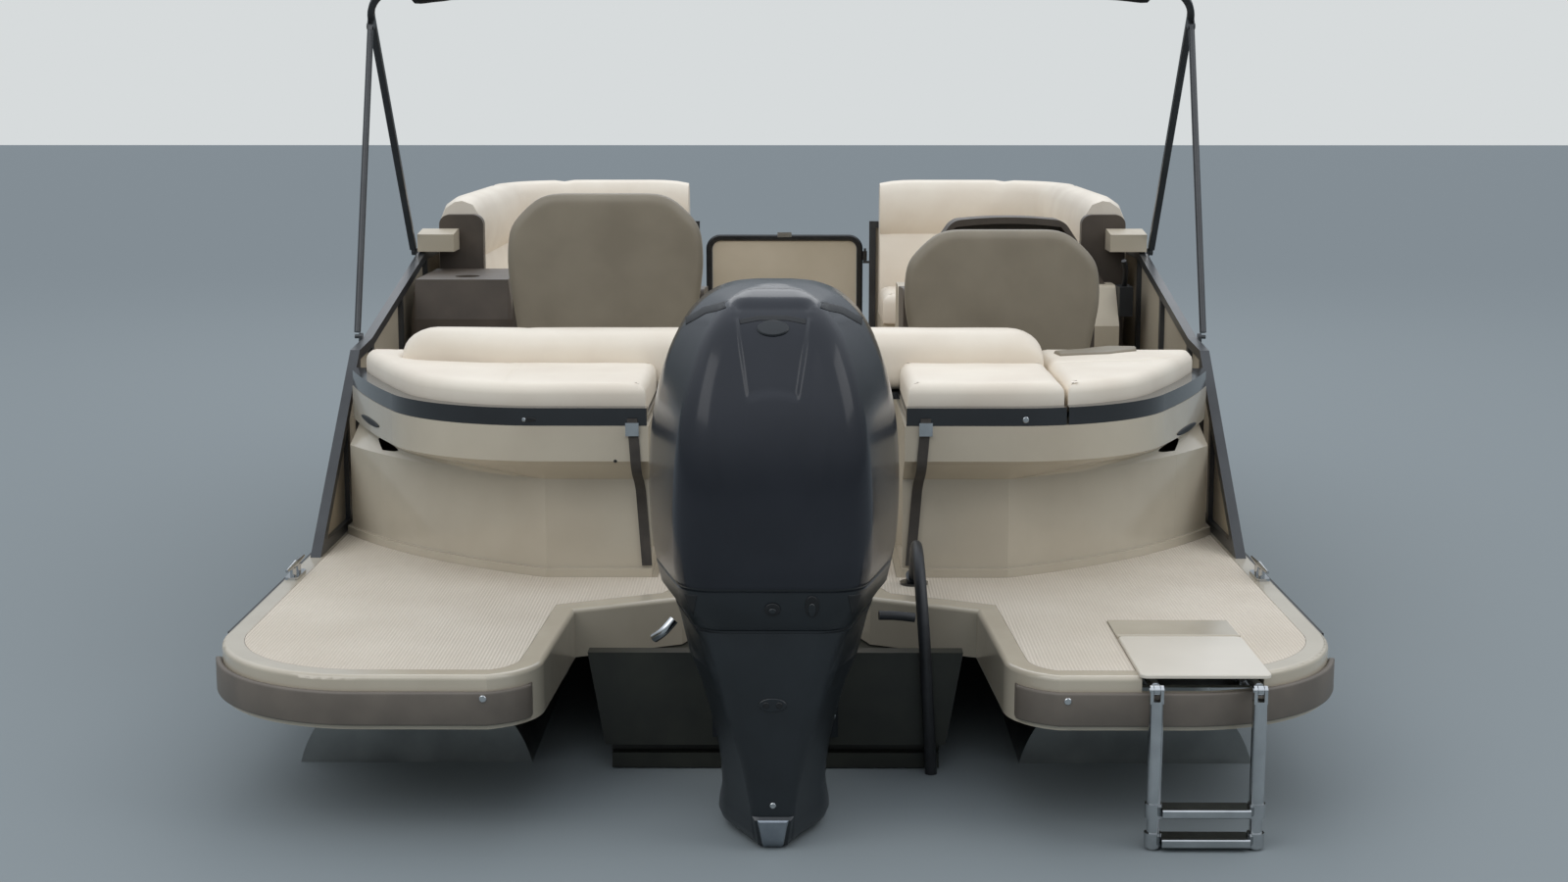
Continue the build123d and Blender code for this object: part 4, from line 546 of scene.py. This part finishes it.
# Bow lounges: seat pads, and backs that roll over at the top with stitched joints every half metre or so.
for loop in foot_loops("lounge_seats", up):
    low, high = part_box("lounge_seats")
    side = "port" if loop[0].x < 0 else "starboard"
    seat = pad("lounge_seat_" + side, flat_loop(loop), low.z, high.z - 8 * mm, cream_vinyl, "hull",
               edge=36 * mm, crown=9 * mm, step=32 * mm)
    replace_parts(seat, "lounge_seats")
back_joints = [0.45, 1.05, 1.65]
for loop in foot_loops("lounge_backs", up):
    low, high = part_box("lounge_backs")
    side = "port" if loop[0].x < 0 else "starboard"
    hand = -1 if side == "port" else 1
    # line along the back, from the aft end round the bow corner to the gate, and inwards from it
    corner, outer_x, outer_y = 0.43, 1.228, 4.222
    line, away = [], []
    for y in [2.645 + (outer_y - corner - 2.645) * k / 22 for k in range(23)]:
        line.append(Vector((outer_x, y)))
        away.append(Vector((-1, 0)))
    for k in range(1, 12):
        turn = math.pi / 2 * k / 12
        line.append(Vector((outer_x - corner + corner * math.cos(turn),
                            outer_y - corner + corner * math.sin(turn))))
        away.append(Vector((-math.cos(turn), -math.sin(turn))))
    for x in [outer_x - corner - (outer_x - corner - 0.402) * k / 8 for k in range(9)]:
        line.append(Vector((x, outer_y)))
        away.append(Vector((0, -1)))
    # section of the back: share inwards of 0.17 m, share of its height above the seat base
    section = [(0.04, 0.0), (0.96, 0.0), (0.98, 0.25), (0.94, 0.42), (0.86, 0.55), (0.80, 0.60), (0.88, 0.64),
               (0.98, 0.72), (1.0, 0.82), (0.95, 0.91), (0.82, 0.975), (0.6, 1.0), (0.36, 0.992),
               (0.16, 0.95), (0.05, 0.87), (0.02, 0.75), (0.02, 0.3)]
    travelled = 0.0
    rings = []
    for k, (point, inward) in enumerate(zip(line, away)):
        if k:
            travelled += (point - line[k - 1]).length
        pinch = max(math.exp(-((travelled - joint) / (9 * mm)) ** 2) for joint in back_joints)
        ending = min(k, len(line) - 1 - k)
        tuck = (14 * mm, 5 * mm, 1 * mm)[ending] if ending < 3 else 0.0
        ring = []
        for share, level in section:
            reach = 0.17 * (0.5 + (share - 0.5) * (1 - 0.03 * pinch)) + (tuck if share < 0.5 else -tuck) * 0.5
            spot = point + inward * reach
            z = low.z + (high.z - low.z) * level * (1 - 0.012 * pinch) - (tuck if level > 0.6 else 0)
            ring.append((hand * spot.x, spot.y, z))
        rings.append(ring)
    back = piece("lounge_back_" + side, *skin(rings), cream_vinyl, "hull", 48)
    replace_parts(back, "lounge_backs")


def rounded(points, radii, turns=7):
    """Open 2-D polyline with each inner corner rounded by its radius, in the given number of turns."""
    made = [points[0]]
    for before, corner, after, radius in zip(points, points[1:], points[2:], radii):
        a, b = (before - corner).normalized(), (after - corner).normalized()
        half = a.angle(b) / 2
        reach = radius / math.tan(half)
        centre = corner + (a + b).normalized() * (radius / math.sin(half))
        first, last = corner + a * reach - centre, corner + b * reach - centre
        arc = first.angle(last)
        for k in range(turns + 1):
            made.append(centre + (first * math.sin(arc * (1 - k / turns))
                                  + last * math.sin(arc * k / turns)) / math.sin(arc))
    made.append(points[-1])
    return made


def spread(line, counts):
    """Points added along each long straight run: counts are the divisions of the first and the last run."""
    first = [line[0].lerp(line[1], k / counts[0]) for k in range(counts[0])]
    last = [line[-2].lerp(line[-1], k / counts[1]) for k in range(1, counts[1] + 1)]
    return first + line[1:-1] + last


aft_columns = 44            # points across half of a housing's aft face


def housing_ring(z, half, aft_half, aft, fore):
    """Level section of a motor housing: a rounded front, flanks that draw in, and a narrower aft face."""
    middle = (aft + fore) / 2
    corners = [Vector(p) for p in [(0, fore), (half, fore), (half, middle), (aft_half, aft), (0, aft)]]
    side = spread(rounded(corners, (0.42 * half, 1.5 * half, 0.34 * aft_half * 1.3)), (5, aft_columns))
    other = [Vector((-p.x, p.y)) for p in side[-2:0:-1]]
    return [Vector((p.x, p.y, z)) * mm for p in side + other]


# Cowl: the tall black shell over the engine. Its aft face is drawn in facets: a sunk panel at the top with an
# air slot, a flat middle between two pairs of ridges that run down, and a rounded edge to each flank.
# height, half width, half width of the aft face, aft end, forward end, in millimetres
cowl_sections = [(592.3, 267, 189, -617, 47), (600, 269, 191, -619, 48), (650, 277, 196, -626, 52),
                 (760, 281, 196, -628, 52), (880, 275, 188, -615, 46), (980, 258, 174, -588, 36),
                 (1060, 232, 154, -550, 20), (1125, 196, 130, -500, -4), (1170, 150, 100, -440, -40),
                 (1194, 98, 66, -375, -90), (1203, 52, 36, -315, -145)]
levels = []
for k, (lower, upper) in enumerate(zip(cowl_sections, cowl_sections[1:])):
    before, after = cowl_sections[max(0, k - 1)], cowl_sections[min(len(cowl_sections) - 1, k + 2)]
    count = max(2, round(math.dist(lower, upper) / 6))
    for j in range(count):
        s = j / count
        levels.append([0.5 * (2 * q + (r - p) * s + (2 * p - 5 * q + 4 * r - t) * s * s
                              + (3 * q - p - 3 * r + t) * s ** 3)
                       for p, q, r, t in zip(before, lower, upper, after)])
levels.append(list(cowl_sections[-1]))
panel_top, panel_foot = 1.186, 0.992
panel_half_top, panel_half_foot = 88 * mm, 58 * mm
# ends of the inner and the outer ridge: x and height
inner_ridge = [(0.088, 1.08), (0.052, 0.62)]
outer_ridge = [(0.138, 1.08), (0.074, 0.62)]


def cowl_relief(point):
    """Depth pressed into the aft face at a point, in metres."""
    if point.y > -0.25:
        return 0.0
    share = (panel_top - point.z) / (panel_top - panel_foot)
    half = panel_half_top + (panel_half_foot - panel_half_top) * share
    sunk = smooth_step(0, 12 * mm, half - abs(point.x)) * smooth_step(0, 18 * mm, panel_top - point.z)
    sunk *= smooth_step(0, 16 * mm, point.z - panel_foot + 10 * mm * (abs(point.x) / half) ** 2)
    depth = 8 * mm * sunk
    share = (inner_ridge[0][1] - point.z) / (inner_ridge[0][1] - inner_ridge[1][1])
    inner = inner_ridge[0][0] + (inner_ridge[1][0] - inner_ridge[0][0]) * share
    outer = outer_ridge[0][0] + (outer_ridge[1][0] - outer_ridge[0][0]) * share
    slope = 0.085 * smooth_step(0.6, 0.68, point.z) * smooth_step(1.15, 1.05, point.z)
    depth += slope * min(outer - inner, max(0, outer - abs(point.x)))
    return depth


cowl_rings = []
for level in levels:
    ring = housing_ring(*level)
    moved = []
    for i, point in enumerate(ring):
        run = ring[(i + 1) % len(ring)] - ring[i - 1]
        outwards = Vector((-run.y, run.x, 0)).normalized()
        if outwards.dot(point - Vector((0, -0.28, point.z))) < 0:
            outwards.negate()
        lean = smooth_step(1.0, 1.2, point.z)
        outwards = (outwards * (1 - 0.8 * lean) + Vector((0, 0, 0.8 * lean))).normalized()
        moved.append(point - outwards * cowl_relief(point))
    cowl_rings.append(moved)
crown = cowl_rings[-1]
centre = sum(crown, Vector()) / len(crown)
for shrink, lift in [(0.7, 1.5), (0.35, 2.6)]:
    cowl_rings.append([centre + (point - centre) * shrink + Vector((0, 0, lift * mm)) for point in crown])
cowl_shell = skin(cowl_rings)
cowl = piece("cowl_shell", *cowl_shell, cowl_gloss, "motor", 40)
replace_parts(cowl, "motor_cowl")

# Lower pan: a satin tray below the cowl, with a lip at the joint.
pan_sections = [(495, 222, 156, -585, 24), (498, 225, 158, -588, 26), (520, 240, 168, -598, 33),
                (540, 256, 180, -610, 40), (575, 264, 187, -614, 45), (584, 266, 188, -616, 46),
                (587, 262, 185, -612, 43), (591.5, 262, 185, -612, 43)]
pan_shell = skin([housing_ring(*section) for section in pan_sections])
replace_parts(piece("motor_pan_shell", *pan_shell, motor_satin, "motor", 30), "motor_pan")

node_trees = {}


def surface_of(node):
    """Search tree over a frame node's faces."""
    if node not in node_trees:
        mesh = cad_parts[node].data
        node_trees[node] = BVHTree.FromPolygons([v.co for v in mesh.vertices],
                                                [tuple(p.vertices) for p in mesh.polygons])
    return node_trees[node]


cowl_tree = BVHTree.FromPolygons(*cowl_shell)
pan_tree = BVHTree.FromPolygons(*pan_shell)
astern = Vector((0, 1, 0))


def plate(name, outline, onto, material, body, lift, sink=4 * mm, step=10 * mm, bevel=1 * mm, aim=astern):
    """A thin plate on a surface seen from astern: outline in x and z, its face proud by lift."""
    loop = even([Vector(p) for p in outline], step)
    inner = inset(loop, bevel)
    lows = [min(p[axis] for p in inner) for axis in (0, 1)]
    highs = [max(p[axis] for p in inner) for axis in (0, 1)]
    grid = [Vector((lows[0] + i * step, lows[1] + j * step))
            for i in range(1, int((highs[0] - lows[0]) / step) + 1)
            for j in range(1, int((highs[1] - lows[1]) / step) + 1)]
    grid = [p for p in grid if off_line(p, inner + inner[:1]) > 0.4 * step]
    flat, _, top, _, _, _ = delaunay_2d_cdt(inner + grid,
                                            [(i, (i + 1) % len(inner)) for i in range(len(inner))], [],
                                            1, 1e-7)

    def laid(p, height):
        start = Vector((p.x, -3.0, p.y))
        hit, normal, _, _ = onto.ray_cast(start, aim)
        if hit is None:
            hit, normal, _, _ = onto.find_nearest(Vector((p.x, -0.6, p.y)))
        normal = normal if normal.dot(aim) < 0 else -normal
        return hit + normal * height

    count = len(loop)
    verts = ([laid(p, -sink) for p in loop] + [laid(p, lift - bevel) for p in loop]
             + [laid(p, lift) for p in flat])
    faces = [(i, (i + 1) % count, count + (i + 1) % count, count + i) for i in range(count)]
    # the flat points begin with the inner ring, in its own order
    faces += [(count + i, count + (i + 1) % count, 2 * count + (i + 1) % count, 2 * count + i)
              for i in range(count)]
    faces += [tuple(2 * count + i for i in face) for face in top]
    faces.append(tuple(range(count)))
    return piece(name, verts, faces, material, body, 30)


def oval(x, z, half_x, half_z, count=24):
    return [(x + half_x * math.cos(2 * math.pi * k / count), z + half_z * math.sin(2 * math.pi * k / count))
            for k in range(count)]


def strip(points, width):
    """Outline of a band along a polyline of x, z points."""
    line = [Vector(p) for p in points]
    sides = []
    for i, p in enumerate(line):
        run = (line[min(i + 1, len(line) - 1)] - line[max(i - 1, 0)]).normalized()
        sides.append((p + Vector((-run.y, run.x)) * width / 2, p - Vector((-run.y, run.x)) * width / 2))
    return [a for a, b in sides] + [b for a, b in sides[::-1]]


# Cowl details: the air slot under the sunk panel's brow with its round boss, and a slit each side of the
# panel.
# The slot and the slits are near-black plates laid on the shell: painted shade in place of their hollows.
plate("cowl_air_slot_painted_shade", strip([(-0.070, 1.139), (-0.03, 1.146), (0.03, 1.146), (0.070, 1.139)], 9 * mm),
      cowl_tree, trim_black, "motor", 1.2 * mm, step=6 * mm, bevel=0.5 * mm)
plate("cowl_boss", oval(0, 1.126, 34 * mm, 15 * mm), cowl_tree, motor_satin, "motor", 4 * mm, step=7 * mm,
      bevel=2 * mm)
for hand, side in [(-1, "port"), (1, "starboard")]:
    # painted shade: each slit is a near-black plate standing in for the shadow in its hollow
    plate("cowl_slit_painted_shade_" + side, strip([(hand * 0.196, 1.118), (hand * 0.15, 1.15), (hand * 0.102, 1.17)],
                                     10 * mm),
          cowl_tree, trim_black, "motor", 1.5 * mm, step=7 * mm, bevel=0.5 * mm)
    plate("pan_vent_" + side, [(hand * 0.158, 0.577), (hand * 0.186, 0.575), (hand * 0.168, 0.525)],
          pan_tree, trim_black, "motor", 1 * mm, step=8 * mm, bevel=0.5 * mm)

# Leg: a faired skin over the frame's leg, drawn in below the pan and wide again at
# its hem just above the water, where a strut with a bright spine comes out of it.
# height, half width, half width of the aft face, aft end, forward end, in millimetres
fairing_sections = [(4, 56, 30, -512, -262), (10, 92, 36, -532, -252), (22, 118, 40, -546, -246),
                    (38, 124, 42, -553, -243), (64, 119, 43, -559, -241), (100, 115, 46, -564, -240),
                    (150, 118, 54, -570, -239), (200, 125, 64, -575, -238), (256, 137, 79, -581, -237),
                    (310, 152, 94, -585, -235), (370, 170, 110, -589, -234), (430, 190, 126, -591, -233),
                    (456, 202, 136, -591, -120), (490, 223, 157, -588, 22)]
fairing_shell = skin([housing_ring(*section) for section in fairing_sections])
piece("leg_fairing", *fairing_shell, motor_satin, "motor", 30)
leg_tree = BVHTree.FromPolygons(*fairing_shell)

# Leg and transom details: the telltale's outlet, the cowl's latch, an oval inspection plate with two screws,
# a drain plug and the strut's bright spine.
plate("telltale_outlet", oval(0, 0.548, 17 * mm, 14 * mm), pan_tree, trim_black, "motor", 4 * mm, step=6 * mm)
plate("telltale_spout", oval(0, 0.546, 8 * mm, 6 * mm), pan_tree, motor_satin, "motor", 7 * mm, step=4 * mm)
plate("cowl_latch", oval(0.083, 0.555, 15 * mm, 24 * mm), pan_tree, trim_black, "motor", 3 * mm, step=6 * mm)
plate("cowl_latch_lever", oval(0.083, 0.549, 8 * mm, 14 * mm), pan_tree, motor_satin, "motor", 6 * mm,
      step=5 * mm)
plate("leg_plate", oval(0, 0.334, 30 * mm, 15 * mm), leg_tree, motor_satin, "motor", 3 * mm, step=6 * mm)
for x in (-0.014, 0.014):
    plate("leg_plate_screw_" + ("a" if x < 0 else "b"), oval(x, 0.334, 7 * mm, 7 * mm, 14), leg_tree,
          trim_black, "motor", 5 * mm, step=4 * mm)
plate("drain_plug", oval(0, 0.104, 7 * mm, 7 * mm, 16), leg_tree, stainless, "motor", 3 * mm, step=4 * mm)
plate("leg_strut", [(-0.044, 0.078), (0.044, 0.078), (0.036, 0.006), (-0.036, 0.006)], leg_tree, motor_satin,
      "motor", 8 * mm, step=8 * mm, bevel=6 * mm)
plate("leg_spine", [(-0.033, 0.073), (0.033, 0.073), (0.021, 0.006), (-0.021, 0.006)], leg_tree, leg_silver,
      "motor", 12 * mm, step=8 * mm, bevel=3 * mm)

# Bolts of the clamp bracket, through the transom plate, and its side cheeks' zinc studs.
bracket_tree = surface_of("clamp_bracket")
for hand, side in [(-1, "port"), (1, "starboard")]:
    for z in (0.150, 0.225):
        plate(f"clamp_bolt_{side}_{round(z / mm)}", oval(hand * 0.134, z, 11 * mm, 11 * mm, 18),
              bracket_tree, stainless, "hull", 8 * mm, step=5 * mm, bevel=3 * mm)


def tube(name, points, radius, material, body, sides=14, smooth=6, closed_end=True):
    """Round tube along a smoothed path of points."""
    path = [Vector(p) for p in points]
    fine = []
    for k in range(len(path) - 1):
        p, q, r, t = path[max(0, k - 1)], path[k], path[k + 1], path[min(len(path) - 1, k + 2)]
        for j in range(smooth):
            s = j / smooth
            fine.append(0.5 * (2 * q + (r - p) * s + (2 * p - 5 * q + 4 * r - t) * s * s
                               + (3 * q - p - 3 * r + t) * s ** 3))
    fine.append(path[-1])
    rings = []
    side_way = None
    for k, point in enumerate(fine):
        run = (fine[min(k + 1, len(fine) - 1)] - fine[max(k - 1, 0)]).normalized()
        if side_way is None:
            side_way = run.orthogonal().normalized()
        side_way = (side_way - run * side_way.dot(run)).normalized()
        other = run.cross(side_way)
        rings.append([point + (side_way * math.cos(2 * math.pi * i / sides)
                               + other * math.sin(2 * math.pi * i / sides))
                      * radius for i in range(sides)])
    return piece(name, *skin(rings), material, body, 50)


# Fuel and cooling hose: it leaves the gland on the platform's edge beside the motor, arches over and hangs
# into the water, its far end bare and under the surface.
hose_route = [(352, 374, 398), (350, 305, 468), (346, 205, 516), (344, 105, 520), (346, 25, 472),
              (351, -22, 388), (358, -36, 285), (364, -34, 175), (371, -28, 65), (377, -18, -45),
              (382, -2, -150), (384, 22, -245)]
hose_curve = bpy.data.curves.new("hose_run", "CURVE")
hose_curve.dimensions = "3D"
hose_curve.bevel_depth = 14.5 * mm
hose_curve.bevel_resolution = 4
hose_curve.resolution_u = 8
hose_curve.use_fill_caps = True
run = hose_curve.splines.new("NURBS")
run.points.add(len(hose_route) - 1)
for point, place in zip(run.points, hose_route):
    point.co = (*(value * mm for value in place), 1)
run.order_u = 3
run.use_endpoint_u = True
hose_curve.materials.append(hose_rubber)
hose = bpy.data.objects.new("hose_run", hose_curve)
bpy.context.collection.objects.link(hose)
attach(hose, "hull")
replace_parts(hose, "hose")

# Rigging beside the motor: the steering link's boot, and a short metal fitting to port; the fuel line that
# loops from the transom to the pan is not drawn.
tube("rigging_boot", [(0.245, -0.06, 0.40), (0.285, -0.055, 0.398), (0.33, -0.05, 0.392)], 11 * mm,
     hose_rubber, "hull")
tube("rigging_fitting", [(-0.285, -0.06, 0.345), (-0.262, -0.075, 0.365), (-0.238, -0.07, 0.392)], 12 * mm,
     stainless, "hull", sides=12)

# Straps: webbing from the sun pad's lids down to the cabinet's foot, each with a metal clip at its top.
for hand, side, top_x, foot_x in [(-1, "port", -0.366, -0.338), (1, "starboard", 0.378, 0.347)]:
    half = 13 * mm
    rings = []
    for y, z in [(0.3775, 0.802), (0.3770, 0.70), (0.3780, 0.678), (0.395, 0.655), (0.440, 0.628),
                 (0.466, 0.60), (0.468, 0.50), (0.468, 0.402)]:
        x = top_x + (foot_x - top_x) * (0.802 - z) / 0.40
        rings.append([(x - half, y - 1.5 * mm, z), (x + half, y - 1.5 * mm, z), (x + half, y + 1.0 * mm, z),
                      (x - half, y + 1.0 * mm, z)])
    band = piece("strap_" + side, *skin(rings), webbing, "hull", 60)
    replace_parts(band, "straps")
    rings = [[(top_x - 17 * mm, 0.3715, z), (top_x + 17 * mm, 0.3715, z), (top_x + 17 * mm, 0.379, z),
              (top_x - 17 * mm, 0.379, z)] for z in (0.758, 0.762, 0.788, 0.792)]
    piece("strap_clip_" + side, *skin(rings), stainless, "hull", 40)

# Bumpers: soft strips with rounded edges, let into the
# platform's corners, each with a screw at its inner end.
for loop in foot_loops("bumpers", up):
    low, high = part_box("bumpers")
    side = "port" if loop[0].x < 0 else "starboard"
    bumper = pad("bumper_" + side, flat_loop(loop), low.z, high.z, bumper_rubber, "hull", edge=6 * mm,
                 under=5 * mm, crown=0, step=16 * mm, soft=0)
    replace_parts(bumper, "bumpers")
platform_tree = surface_of("bumpers")
for x in (-0.627, 0.636):
    plate("bumper_screw_" + ("port" if x < 0 else "starboard"),
          oval(x, 0.322 if x > 0 else 0.326, 8 * mm, 8 * mm, 18),
          platform_tree, stainless, "hull", 2.5 * mm, step=5 * mm)

# Small fittings of the sun pad's rim and cabinet: the starboard button, the port latch, a drain dot and the
# dark courtesy lenses at the flared band's outer ends.
rim_trees = {"port": surface_of("sunpad_lid_port"), "starboard": surface_of("sunpad_lid_starboard")}
cabinet_tree = surface_of("sunpad_cabinet")
plate("rim_button", oval(0.631, 0.799, 8 * mm, 8 * mm, 18), rim_trees["starboard"], stainless,
      "lid_starboard", 3 * mm, step=5 * mm)
plate("rim_latch", oval(-0.628, 0.799, 18 * mm, 6 * mm), rim_trees["port"], trim_black, "lid_port", 4 * mm,
      step=5 * mm)
plate("rim_latch_head", oval(-0.640, 0.799, 5 * mm, 5 * mm, 14), rim_trees["port"], stainless, "lid_port",
      6 * mm, step=4 * mm)
plate("cabinet_dot", oval(-0.410, 0.692, 5 * mm, 5 * mm, 16), cabinet_tree, trim_black, "hull", 1.5 * mm,
      step=4 * mm)
for x, z in [(-1.125, 0.722), (1.125, 0.702)]:
    plate("courtesy_lens_" + ("port" if x < 0 else "starboard"), oval(x, z, 44 * mm, 9 * mm, 26),
          cabinet_tree, trim_black, "hull", 4 * mm, step=9 * mm, bevel=2 * mm)

# Bimini boot: the rolled canvas in its sleeve. The cloth hangs slack between ties, with long shallow folds,
# and is gathered at both ends round the bow.
boot_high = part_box("bimini_boot")[1]
leg_way = Vector((0, 1.870 - 2.5, 1.840 - 1.070)).normalized()
pivot = Vector((0, 2.5, 1.07))
boot_half = boot_high.x - 12 * mm
side_way = Vector((0, leg_way.z, -leg_way.y))
boot_rings = []
for k in range(121):
    share = -1 + 2 * k / 120
    x = share * boot_half
    rise = (1.1246 + 0.1354 * (1 - abs(share)) if abs(share) > 0.4
            else 1.1246 + 0.1354 * (0.8 - 1.25 * share * share))
    middle = pivot + leg_way * rise + Vector((x, 0, 0))
    gather = min(1.0, (1 - abs(share)) / 0.03)
    radius = 56 * mm * (0.55 + 0.45 * math.sqrt(max(0.0, 1 - (1 - gather) ** 2)))
    tie = max(math.exp(-((share - place) / 0.007) ** 2) for place in (-0.66, -0.22, 0.22, 0.66))
    ring = []
    for i in range(36):
        turn = 2 * math.pi * i / 36
        fold = noise.noise((x * 2.2 + 7, math.cos(turn) * 1.3, math.sin(turn) * 1.3)) * 5 * mm
        fold += noise.noise((x * 26, math.cos(turn) * 1.1, math.sin(turn) * 0.9 + 4)) * 2.2 * mm
        reach = (radius + fold) * (1 - 0.07 * tie)
        ring.append(middle + side_way * math.cos(turn) * reach + leg_way * math.sin(turn) * reach)
    boot_rings.append(ring)
boot = piece("bimini_boot_cloth", *skin(boot_rings), canvas, "bimini", 50)
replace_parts(boot, "bimini_boot")

# Helm: gauges under the hood, a throttle box beside the chair, and the gate's latch.
for x, name in [(0.60, "gauge_port"), (0.775, "gauge_middle"), (0.95, "gauge_starboard")]:
    for part, radius, y, material in [("bezel", 52 * mm, 2.368, stainless),
                                      ("glass", 46 * mm, 2.364, trim_black)]:
        rings = [[(x + radius * math.cos(2 * math.pi * i / 28), yy,
                   1.082 + radius * math.sin(2 * math.pi * i / 28))
                  for i in range(28)] for yy in (2.3795, y)]
        piece(f"{name}_{part}", *skin(rings), material, "hull", 30)
rings = [[(x, y, z) for x, y in [(1.152, 2.32), (1.198, 2.32), (1.198, 2.44), (1.152, 2.44)]]
         for z in (0.86, 0.96)]
piece("throttle_box", *skin(rings), trim_black, "hull", 30)
tube("throttle_lever", [(1.175, 2.38, 0.955), (1.175, 2.35, 1.01), (1.165, 2.33, 1.05)], 9 * mm, trim_black,
     "hull")
rings = [[(x, y, z) for x, z in [(-0.03, 1.002), (0.03, 1.002), (0.03, 1.022), (-0.03, 1.022)]]
         for y in (4.228, 4.262)]
piece("gate_latch", *skin(rings), stainless, "gate", 30)
